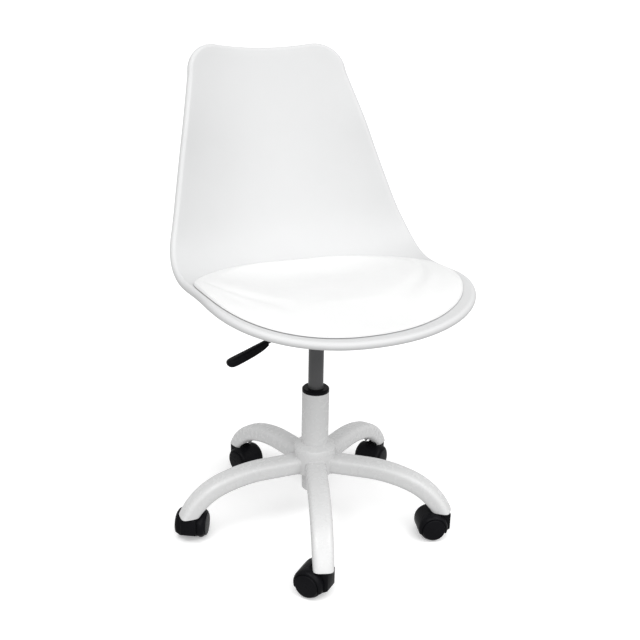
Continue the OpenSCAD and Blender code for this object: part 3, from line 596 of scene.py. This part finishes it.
# Wheels: two to each caster, moulded in black nylon, each free on the axle. A wheel has a
# tyre with a broad round shoulder, a raised disc inside a groove, and a hollow on the side
# that faces the hood.
WHEEL_OFF = 0.6  # gap between hood and wheel
wheel_profile = rounded(
    [
        (4.05, 12.2), (4.05, 0), (8.5, 0), (8.5, 7), (16.5, 7), (16.5, 0.4), (24, 0.4),
        (24.9, 1.2), (25, 4.4), (24.4, 6.8), (23.1, 8.8), (21.6, 10.2), (20.9, 10.6),
        (20.9, 12.8), (19.9, 13.9), (12, 14.3),
    ],
    0.9,
)
wheel_points, wheel_faces = turned([(0, 12.2)] + wheel_profile + [(0, 14.4)], 96)
hood_points = [Vector([c / MM for c in v.co]) for v in hood.data.vertices]
hood_faces = [list(f.vertices) for f in hood.data.polygons]
for k in range(ARM_COUNT):
    place_k = caster_matrix(k)
    stand = [place_k @ p for p in hood_points]
    piece = mesh_piece(f"caster_{k + 1}_hood", stand, hood_faces, nylon_black, 32)
    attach(piece, f"caster_{k + 1}")
    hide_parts(f"caster_hood_{k + 1}")
    for side, sign in (("left", 1), ("right", -1)):
        axle = place_k @ Matrix.Translation((TRAIL, 0, WHEEL_R))
        lay = axle @ Matrix.Rotation(sign * math.pi / 2, 4, "X")
        stand = [lay @ Vector((x, y, z + HOOD_W / 2 + WHEEL_OFF)) for x, y, z in wheel_points]
        piece = mesh_piece(f"caster_{k + 1}_wheel_{side}", stand, wheel_faces, nylon_black, 50)
        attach(piece, f"wheel_{k + 1}_{side}")
        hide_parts(f"wheel_{k + 1}_{side}")
bpy.data.objects.remove(hood)

# Balls of the thrust bearing at the column's foot: twelve of hardened steel, in a ring,
# held apart by the cage between the two races.
BALL_R, BALL_RING_R, BALL_Z, BALL_COUNT = 2.5, 13.05, 72, 12
half_circle = [(BALL_R * math.sin(t), -BALL_R * math.cos(t)) for t in np.linspace(0, math.pi, 13)]
ball = mesh_piece("bearing_ball_ring", *turned(half_circle, 20), steel_bright, 180)
ball.data.transform(Matrix.Translation((BALL_RING_R * MM, 0, BALL_Z * MM)))
grow(ball, ring, {"Count": BALL_COUNT, "First turn": 0.0, "Finish": steel_bright})
settle(ball, 180)
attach(ball, "base")
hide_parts("bearing_balls")

# Bolts: four of zinc plated steel, which hold plate and washers to the shell's inserts from
# below. Each has a rounded head with a round recess for the key, and a chamfered end.
BOLT_SPAN_W, BOLT_SPAN_LEN, PLATE_BOTTOM, BOSS_Z = 140, 100, 414.432, 418.932
bolt_recess = [(0, -1.8), (3, -1.8), (3.4, -2.2)]
bolt_head = rounded([(3.4, -3.4), (6, -3.2), (6, 0), (3, 0)], 1.4, 5)
bolt_end = [(3, 15.6), (2.6, 16), (0, 16)]
bolt = mesh_piece("plate_bolt_set", *turned(bolt_recess + bolt_head + bolt_end, 24), steel_bright)
four, inputs, output = node_tree(
    "bolts_at_corners",
    [
        ("Across", "NodeSocketFloat", BOLT_SPAN_W * MM),
        ("Along", "NodeSocketFloat", BOLT_SPAN_LEN * MM),
        ("Height", "NodeSocketFloat", PLATE_BOTTOM * MM),
        ("Finish", "NodeSocketMaterial", None),
    ],
)
corners = four.nodes.new("GeometryNodeMeshGrid")
corners.inputs["Vertices X"].default_value = 2
corners.inputs["Vertices Y"].default_value = 2
lift = four.nodes.new("ShaderNodeCombineXYZ")
raised = four.nodes.new("GeometryNodeSetPosition")
copies = four.nodes.new("GeometryNodeInstanceOnPoints")
four.links.new(inputs.outputs["Across"], corners.inputs["Size X"])
four.links.new(inputs.outputs["Along"], corners.inputs["Size Y"])
four.links.new(inputs.outputs["Height"], lift.inputs["Z"])
four.links.new(corners.outputs["Mesh"], raised.inputs["Geometry"])
four.links.new(lift.outputs[0], raised.inputs["Offset"])
four.links.new(raised.outputs[0], copies.inputs["Points"])
four.links.new(inputs.outputs["Geometry"], copies.inputs["Instance"])
finish_tree(four, copies.outputs[0], inputs, output)
grow(bolt, four, {"Finish": steel_bright})
settle(bolt)
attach(bolt, "seat")
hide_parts("plate_bolts")

# Height lever's handle: a black nylon paddle with a straight top, a deep belly and a round
# end, moulded on the lever's steel rod.
LEVER_PIVOT_X, LEVER_PIVOT_Z, LEVER_FALL, LEVER_LEN = 34, 393.932, 22, 144.524
HANDLE_LEN, HANDLE_W, HANDLE_T = 82, 20, 13
HANDLE_POINTS, HANDLE_SQUARE, END_START, END_SPAN = 32, 0.62, 0.88, 0.122
ROOT_SHARE, WIDENING = 0.32, 0.18
# Side of the handle: share of its length, then top and belly as shares of its thickness.
handle_side = (
    (0, 0.33, -0.36), (0.04, 0.37, -0.46), (0.1, 0.39, -0.6), (0.2, 0.39, -0.74),
    (0.32, 0.385, -0.82), (0.45, 0.38, -0.86), (0.62, 0.38, -0.87), (0.78, 0.38, -0.86),
    (0.86, 0.375, -0.82), (0.92, 0.355, -0.73), (0.96, 0.31, -0.6), (0.985, 0.2, -0.42),
    (1, 0.0, -0.2),
)
lay = (
    Matrix.Translation((-LEVER_PIVOT_X, 0, LEVER_PIVOT_Z))
    @ Matrix.Rotation(math.pi, 4, "Z")
    @ Matrix.Rotation(math.radians(LEVER_FALL), 4, "Y")
)
points = []
for along, high, low in handle_side:
    half = HANDLE_W * (ROOT_SHARE + WIDENING * min(1, along / END_START))
    if along > END_START:
        half = HANDLE_W / 2 * math.sqrt(max(0.02, 1 - ((along - END_START) / END_SPAN) ** 2))
    middle, deep = HANDLE_T * (high + low) / 2, HANDLE_T * (high - low) / 2
    for t in np.linspace(0, 2 * math.pi, HANDLE_POINTS + 1)[:-1]:
        y, z = oval_point(half, deep, t, HANDLE_SQUARE)
        points.append(lay @ Vector((LEVER_LEN - HANDLE_LEN * (1 - along), y, middle + z)))
handle_faces = capped_sweep(len(handle_side), HANDLE_POINTS)
handle = mesh_piece("lever_paddle", points, handle_faces, nylon_black, 50)
smoothed = handle.modifiers.new("smoothed", "SUBSURF")
smoothed.levels = smoothed.render_levels = 2
settle(handle, 60)
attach(handle, "lever")
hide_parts("lever_handle")

# Shell: one white polypropylene moulding, seat and back in one, with a smooth satin face,
# a rolled rim all round, and four bosses underneath, where the brass inserts sit that the
# plate's bolts are driven into.
SEAT_HALF, WAIST_HALF, TOP_HALF = 228.5, 224.5, 140
SPINE_LEN, NOSE_LEN, WAIST_LEN = 824, 183, 460
NOSE_REACH, NOSE_Z = 262, 460.5
SEAT_FALL, LIP_ANGLE, LIP_LEN = 4.6, 4.9, 150
BEND_START, BEND_END, BACK_ANGLE, BACK_CURVE = 238.5, 522, 66, 8.3
SEAT_RISE, BACK_RISE, TOP_RISE = 56, 52.5, 28.5
CORNER_R, TOP_DIP, SHELL_T, RIM_R = 56.5, 4.5, 4.5, 7
CUP_POWER, NOSE_POWER, NOSE_SHARE, MIDDLE_SHARE = 2.1, 2.7, 0.8, 0.42
SPINE_STEPS, NORMAL_STEP, OUTLINE_POINTS = 960, 6.9, 260
RIM_END, BOSS_R, INSERT_BORE_R, INSERT_BORE_LEN = 150, 10, 4.25, 11.4
# Upper end of a boss: its radii, and how far below its top, which lies inside the wall.
BOSS_FILLET = ((BOSS_R, 5), (10.6, 3.4), (12.4, 1.9), (15, 1.2), (15, 0), (0, 0))


def ease(t):
    """A soft step from 0 to 1."""
    t = np.clip(t, 0, 1)
    return t * t * (3 - 2 * t)


def mix(a, b, t):
    """A value between two others."""
    return a + (b - a) * t


def spine_angle(s):
    """Slope of the shell's middle line at a length from its front lip, in radians."""
    bend = mix(-SEAT_FALL, BACK_ANGLE, ease((s - BEND_START) / (BEND_END - BEND_START)))
    lip = LIP_ANGLE * np.maximum(0, 1 - s / LIP_LEN) ** 2
    back = BACK_CURVE * np.maximum(0, (s - BEND_END) / (SPINE_LEN - BEND_END))
    return np.radians(bend - lip + back)


spine_step = SPINE_LEN / SPINE_STEPS
spine_s = np.arange(SPINE_STEPS + 1) * spine_step
slopes = spine_angle((np.arange(SPINE_STEPS) + 0.5) * spine_step)
spine_forward = NOSE_REACH - np.concatenate([[0], np.cumsum(spine_step * np.cos(slopes))])
spine_height = NOSE_Z + np.concatenate([[0], np.cumsum(spine_step * np.sin(slopes))])
SIDE_SLOPE = (TOP_HALF - WAIST_HALF) / (SPINE_LEN - WAIST_LEN)


def half_width(s):
    """Half of the shell's width at a length from its front lip."""
    t = (s - NOSE_LEN) / (WAIST_LEN - NOSE_LEN)
    waist = SEAT_HALF * (1 + 2 * t) * (1 - t) ** 2 + WAIST_HALF * t * t * (3 - 2 * t)
    waist = waist + SIDE_SLOPE * (WAIST_LEN - NOSE_LEN) * t * t * (t - 1)
    back = WAIST_HALF + SIDE_SLOPE * (s - WAIST_LEN)
    return np.where(s <= NOSE_LEN, SEAT_HALF, np.where(s < WAIST_LEN, waist, back))


def side_rise(s):
    """How far the shell's edge stands above its middle line."""
    half = (WAIST_LEN + SPINE_LEN) / 2
    nose = mix(NOSE_SHARE * SEAT_RISE, SEAT_RISE, ease(s / NOSE_LEN))
    low = mix(SEAT_RISE, BACK_RISE, ease((s - WAIST_LEN) / (half - WAIST_LEN)))
    high = mix(BACK_RISE, TOP_RISE, ease((s - half) / (SPINE_LEN - half)))
    back = np.where(s < half, low, high)
    return np.where(s < NOSE_LEN, nose, np.where(s < WAIST_LEN, SEAT_RISE, back))


def face_point(x, s):
    """Points of the shell's upper face, in millimetres."""
    stand = side_rise(s) * np.minimum(1.1, np.abs(x) / half_width(s)) ** CUP_POWER
    a = spine_angle(s)
    forward = np.interp(s, spine_s, spine_forward) + stand * np.sin(a)
    height = np.interp(s, spine_s, spine_height) + stand * np.cos(a)
    return np.stack([x, -forward, height], -1)


def unit(v):
    """Vectors of length 1."""
    return v / np.linalg.norm(v, axis=-1, keepdims=True)


def face_normal(x, s):
    """Normals of the shell's upper face."""
    d = NORMAL_STEP
    s = np.clip(s, d, SPINE_LEN - d)
    across = face_point(x + d, s) - face_point(x - d, s)
    along = face_point(x, s + d) - face_point(x, s - d)
    return unit(np.cross(across, along))


def off_face(loop, height):
    """Points over the upper face, for a loop of places across and along it."""
    return face_point(loop[:, 0], loop[:, 1]) + height * face_normal(loop[:, 0], loop[:, 1])


def shell_outline(count):
    """Outline of the shell laid flat, evenly spaced, anticlockwise from the middle of the lip."""
    t = np.linspace(0, math.pi / 2, 120)
    nose_x = SEAT_HALF * np.sin(t) ** (2 / NOSE_POWER)
    nose = np.stack([nose_x, NOSE_LEN * (1 - np.cos(t) ** (2 / NOSE_POWER))], -1)
    corner_s = SPINE_LEN - CORNER_R
    corner_x = half_width(corner_s) - CORNER_R
    s = np.linspace(NOSE_LEN, corner_s, 160)[1:]
    side = np.stack([half_width(s), s], -1)
    t = t[1:]
    corner = np.stack([corner_x + CORNER_R * np.cos(t), corner_s + CORNER_R * np.sin(t)], -1)
    x = np.linspace(corner_x, 0, 60)[1:]
    top = np.stack([x, SPINE_LEN - TOP_DIP * (1 - (x / corner_x) ** 2)], -1)
    half = np.concatenate([nose, side, corner, top])
    run = np.concatenate([[0], np.cumsum(np.linalg.norm(np.diff(half, axis=0), axis=1))])
    even = np.linspace(0, run[-1], count // 2 + 1)
    half = np.stack([np.interp(even, run, half[:, 0]), np.interp(even, run, half[:, 1])], -1)
    return np.concatenate([half, half[1:-1][::-1] * [-1, 1]])


def inset_loop(loop, d):
    """A flat loop moved inwards."""
    t = unit(np.roll(loop, -1, 0) - np.roll(loop, 1, 0))
    return loop - d * np.stack([t[:, 1], -t[:, 0]], -1)


edge = inset_loop(shell_outline(OUTLINE_POINTS), RIM_R)
middle = np.array([0, MIDDLE_SHARE * SPINE_LEN])
normals = face_normal(edge[:, 0], edge[:, 1])
top_edge = off_face(edge, 0)
outwards = unit(np.cross(np.roll(top_edge, -1, 0) - np.roll(top_edge, 1, 0), normals))


def rim_ring(radius, angle, along=0.0):
    """A ring of the rolled rim, at an angle from straight up to outwards and under."""
    a = math.radians(angle)
    arm = outwards * math.sin(a) + normals * math.cos(a)
    down = outwards * math.cos(a) - normals * math.sin(a)
    return top_edge - RIM_R * normals + radius * arm + along * down


def closed_skin(first, rings, last):
    """Points and faces of a body that runs from a pole over equal rings to another pole."""
    n = len(rings[0])
    points = np.concatenate([first, *rings, last])
    faces = [[0, 1 + i, 1 + (i + 1) % n] for i in range(n)]
    for r in range(len(rings) - 1):
        a, b = 1 + r * n, 1 + (r + 1) * n
        faces += [[a + i, b + i, b + (i + 1) % n, a + (i + 1) % n] for i in range(n)]
    a = 1 + (len(rings) - 1) * n
    faces += [[a + i, len(points) - 1, a + (i + 1) % n] for i in range(n)]
    return points, faces


shares = np.linspace(0, 1, 31)[1:]
rings = [off_face(middle + (edge - middle) * r, 0) for r in shares]
rings += [rim_ring(RIM_R, a) for a in range(12, RIM_END, 12)]
lip_r = SHELL_T / 2
for t in map(math.radians, (45, 90, 135)):
    rings.append(rim_ring(RIM_R - lip_r + lip_r * math.cos(t), RIM_END, lip_r * math.sin(t)))
rings += [rim_ring(RIM_R - SHELL_T, a) for a in range(RIM_END, 0, -30)]
rings += [off_face(middle + (edge - middle) * r, -SHELL_T) for r in shares[::-1]]
poles = off_face(middle[None], 0), off_face(middle[None], -SHELL_T)
points, faces = closed_skin(poles[0], rings, poles[1])
points = [tuple(p) for p in points]
bore_top = BOSS_Z + INSERT_BORE_LEN
boss_bore = [(0, bore_top), (INSERT_BORE_R, bore_top), (INSERT_BORE_R, BOSS_Z), (BOSS_R, BOSS_Z)]
for x in (-BOLT_SPAN_W / 2, BOLT_SPAN_W / 2):
    for y in (-BOLT_SPAN_LEN / 2, BOLT_SPAN_LEN / 2):
        top_z = off_face(np.array([[x, NOSE_REACH + y]]), -SHELL_T)[0][2] + SHELL_T / 3
        boss_side = [(r, top_z - drop) for r, drop in BOSS_FILLET]
        boss_points, boss_faces = turned(boss_bore + boss_side, 32)
        start = len(points)
        points += [(px + x, py + y, pz) for px, py, pz in boss_points]
        faces += [[start + v for v in f] for f in boss_faces]
shell_plastic = coat(
    "shell_plastic", (0.585, 0.588, 0.59), (0.595, 0.598, 0.6), (0.42, 0.48), 420, 0.000008, 9
)
shell = mesh_piece("bucket_shell", points, faces, shell_plastic, 60)
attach(shell, "seat")
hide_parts("seat_shell")

# Seat pad: a loose cushion in white imitation leather, cut to the seat's outline and sewn
# along its lower edge, with foam over a plywood board. The foam swells the cover, which a
# short cloth run under pressure does here.
PAD_HALF_W, PAD_HALF_LEN, PAD_MID = 223, 190, 216
PAD_T, PAD_EDGE_T, SEAM_H, PAD_GAP = 36, 15, 3, 0.7
PAD_POWER, PAD_ROUND, BOARD_EDGE, BOARD_SPACE = 2.7, 7, 0.915, 6.4
PAD_SLACK, PAD_SWELL, PAD_LEAST_GAP = 3.2, 5.0, 0.5
SWELL_PRESSURE, SWELL_STEPS, HELD_SIDE, HELD_UNDERSIDE = 4, 20, 5, 14
# The pad's outline as shares, from its middle to its edge, and its side down to the shell.
PAD_CROWN = (
    0.08, 0.16, 0.25, 0.34, 0.43, 0.52, 0.6, 0.68, 0.75, 0.81, 0.86, 0.9, 0.935, 0.96, 0.977,
    0.988, 0.995,
)
PAD_SIDE = (
    (0.998, SEAM_H), (0.992, 1.6), (0.98, PAD_GAP), (0.95, PAD_GAP), (BOARD_EDGE, PAD_GAP)
)


def pad_ring(share, height, count=132):
    """The pad's outline shrunk to a share, at a height over the shell's face."""
    t = np.linspace(0, 2 * math.pi, count + 1)[:-1] - math.pi / 2
    c, s = np.cos(t), np.sin(t)
    loop = np.stack(
        [
            share * PAD_HALF_W * np.sign(c) * np.abs(c) ** (2 / PAD_POWER),
            PAD_MID + share * PAD_HALF_LEN * np.sign(s) * np.abs(s) ** (2 / PAD_POWER),
        ],
        -1,
    )
    return off_face(loop, height)


def pad_height(share, slack=0.0):
    """Height of the pad's top at a share of its outline, before it swells by the slack."""
    round_off = math.sqrt(1 - share**PAD_ROUND)
    return SEAM_H + (mix(PAD_T - slack, PAD_EDGE_T - slack / 2, share**2) - SEAM_H) * round_off


rings = [pad_ring(r, pad_height(r, PAD_SLACK)) for r in PAD_CROWN]
rings += [pad_ring(r, h) for r, h in PAD_SIDE]
rings += [pad_ring(r, BOARD_SPACE) for r in (BOARD_EDGE, 0.8, 0.65, 0.5, 0.35, 0.2, 0.08)]
centre = np.array([[0, PAD_MID]])
poles = off_face(centre, pad_height(0, PAD_SLACK)), off_face(centre, BOARD_SPACE)
points, faces = closed_skin(poles[0], rings, poles[1])


def leather():
    """White imitation leather: a fine pebbled grain with pores, and a faint unevenness."""
    material, tree, shader, place = material_base("pad_leather")
    pebble = tree.nodes.new("ShaderNodeTexVoronoi")
    pebble.feature = "DISTANCE_TO_EDGE"
    pebble.inputs["Scale"].default_value = 780
    drift = tree.nodes.new("ShaderNodeTexNoise")
    drift.inputs["Scale"].default_value = 300
    bent = tree.nodes.new("ShaderNodeVectorMath")
    bent.operation = "MULTIPLY_ADD"
    bent.inputs[1].default_value = (0.0012, 0.0012, 0.0012)
    tree.links.new(place, drift.inputs["Vector"])
    tree.links.new(drift.outputs["Color"], bent.inputs[0])
    tree.links.new(place, bent.inputs[2])
    tree.links.new(bent.outputs[0], pebble.inputs["Vector"])
    grain = tree.nodes.new("ShaderNodeMapRange")
    grain.inputs["From Max"].default_value = 0.22
    tree.links.new(pebble.outputs["Distance"], grain.inputs["Value"])
    tone = noise(tree, place, 11)
    tree.links.new(
        blend_colour(tree, spread(tree, tone, 0, 1), (0.72, 0.722, 0.72), (0.745, 0.747, 0.745)),
        shader.inputs["Base Color"],
    )
    tree.links.new(spread(tree, noise(tree, place, 90, 5), 0.42, 0.52), shader.inputs["Roughness"])
    pores = relief(tree, shader, grain.outputs["Result"], 0.00006, 0.6)
    waves = tree.nodes.new("ShaderNodeBump")
    waves.inputs["Distance"].default_value = 0.0004
    waves.inputs["Strength"].default_value = 0.35
    tree.links.new(noise(tree, place, 26, 2), waves.inputs["Height"])
    tree.links.new(waves.outputs["Normal"], pores.inputs["Normal"])
    return material


pad_leather = leather()
pad = mesh_piece("seat_cushion", points, faces, pad_leather, 180)
skin = pad.modifiers.new("skin", "SUBSURF")
skin.levels = skin.render_levels = 1
settle(pad, 180)

# Places on the shell's face, 2 mm apart, by which the pad is kept off it.
grid_x, grid_s = np.meshgrid(
    np.linspace(-228, 228, 229), np.linspace(12, 440, 215), indexing="ij"
)
grid = face_point(grid_x.ravel(), grid_s.ravel()) * MM
grid_normals = face_normal(grid_x.ravel(), grid_s.ravel())
below = KDTree(len(grid))
for i, p in enumerate(grid):
    below.insert(p, i)
below.balance()


def over_shell(mesh):
    """For each point of a mesh: itself, the shell's normal below it and its height over it."""
    at = np.array([v.co for v in mesh.vertices])
    near = np.array([below.find(p)[1] for p in at])
    up = grid_normals[near]
    return at, up, ((at - grid[near]) * up).sum(-1)


at, up, height = over_shell(pad.data)
faces_down = (np.array([v.normal for v in pad.data.vertices]) * up).sum(-1) < -0.2
held = pad.vertex_groups.new(name="held")
on_board = faces_down & (height < HELD_UNDERSIDE * MM)
for i in np.nonzero((height < HELD_SIDE * MM) | on_board)[0]:
    held.add([int(i)], 1.0, "REPLACE")
swell = pad.modifiers.new("swell", "CLOTH")
cloth = swell.settings
cloth.quality = 5
cloth.mass = 0.3
cloth.tension_stiffness = cloth.compression_stiffness = 15
cloth.bending_stiffness = 0.5
cloth.use_pressure = True
cloth.uniform_pressure_force = SWELL_PRESSURE
cloth.vertex_group_mass = "held"
cloth.effector_weights.gravity = 0
swell.collision_settings.use_collision = False
swell.collision_settings.use_self_collision = False
for step in range(1, SWELL_STEPS + 1):
    scene.frame_set(step)
graph = bpy.context.evaluated_depsgraph_get()
moved = np.array([v.co for v in pad.evaluated_get(graph).data.vertices])
scene.frame_set(1)
pad.modifiers.clear()
shift = moved - at
size = np.linalg.norm(shift, axis=-1, keepdims=True)
shift *= np.minimum(1, PAD_SWELL * MM / np.maximum(size, 1e-9))
pad.data.vertices.foreach_set("co", (at + shift).ravel())
pad.data.update()
fuller = pad.modifiers.new("fuller", "SUBSURF")
fuller.levels = fuller.render_levels = 1
settle(pad, 180)
at, up, height = over_shell(pad.data)
lift_by = np.maximum(0, PAD_LEAST_GAP * MM - height)
pad.data.vertices.foreach_set("co", (at + lift_by[:, None] * up).ravel())
pad.data.update()
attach(pad, "seat")
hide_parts("seat_pad")

# Seam of the pad's cover: a thin round welt of the same imitation leather, sewn in along
# the pad's lower edge, just over the shell.
SEAM_POINTS, SEAM_SHARE, WELT_H, WELT_R, WELT_STEP = 400, 0.9955, 1.9, 1.1, 4
seam_points = [tuple(p) for p in pad_ring(SEAM_SHARE, WELT_H, SEAM_POINTS) * MM]
seam_edges = [(i, (i + 1) % SEAM_POINTS) for i in range(SEAM_POINTS)]
seam_mesh = bpy.data.meshes.new("cushion_seam")
seam_mesh.from_pydata(seam_points, seam_edges, [])
seam = bpy.data.objects.new("cushion_seam", seam_mesh)
scene.collection.objects.link(seam)
welt = {"Radius": WELT_R * MM, "Step": WELT_STEP * MM, "Ripple": 0.0, "Sides": 10}
grow(seam, bead, {**welt, "Finish": pad_leather})
settle(seam, 180)
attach(seam, "seat")

# Studio: a pale floor that runs to white, an even white room, three soft boxes in front and
# a broad soft light overhead. The floor glows a little and sends no light back up, so the
# shadows on it stay faint and those under the seat do too.
FLOOR_HALF, FLOOR_GLOW, ROOM_LIGHT = 200, 0.22, 0.62
SUN_POWER, SUN_ANGLE, SUN_WAY = 1.85, 80, (-0.03, 0.57, -0.82)
floor_finish, tree, shader, place = material_base("floor_pale")
tree.links.new(
    blend_colour(
        tree, spread(tree, noise(tree, place, 3), 0, 1), (0.94, 0.94, 0.94), (0.955, 0.955, 0.955)
    ),
    shader.inputs["Base Color"],
)
shader.inputs["Roughness"].default_value = 0.75
shader.inputs["Emission Color"].default_value = (1, 1, 1, 1)
shader.inputs["Emission Strength"].default_value = FLOOR_GLOW
half = FLOOR_HALF
floor_corners = [(-half, -half, 0), (half, -half, 0), (half, half, 0), (-half, half, 0)]
floor = mesh_piece("floor", floor_corners, [[0, 1, 2, 3]], floor_finish, scale=1.0)
floor.visible_diffuse = floor.visible_glossy = False
world = bpy.data.worlds.new("studio")
scene.world = world
world.use_nodes = True
room = world.node_tree.nodes["Background"]
room.inputs["Color"].default_value = (1, 1, 1, 1)
room.inputs["Strength"].default_value = ROOM_LIGHT
for name, at_place, turn_to, size_x, size_y, power in (
    ("key", (0.75, -1.35, 2.1), (0, 0, 0.2), 0.9, 0.4, 4.5),
    ("second", (-1.3, -0.75, 2.1), (0, 0, 0.2), 0.9, 0.4, 8),
    ("front", (-0.9, -2.3, 1.3), (0, 0, 0.25), 1.6, 1.2, 5),
):
    light = bpy.data.lights.new(name, "AREA")
    light.shape = "RECTANGLE"
    light.size, light.size_y, light.energy = size_x, size_y, power
    lamp = bpy.data.objects.new(name, light)
    lamp.location = at_place
    shines = Vector(turn_to) - Vector(at_place)
    lamp.rotation_euler = shines.to_track_quat("-Z", "Y").to_euler()
    scene.collection.objects.link(lamp)

sun_data = bpy.data.lights.new("overhead", "SUN")
sun_data.energy, sun_data.angle = SUN_POWER, math.radians(SUN_ANGLE)
overhead = bpy.data.objects.new("overhead", sun_data)
overhead.rotation_euler = Vector(SUN_WAY).to_track_quat("-Z", "Y").to_euler()
scene.collection.objects.link(overhead)
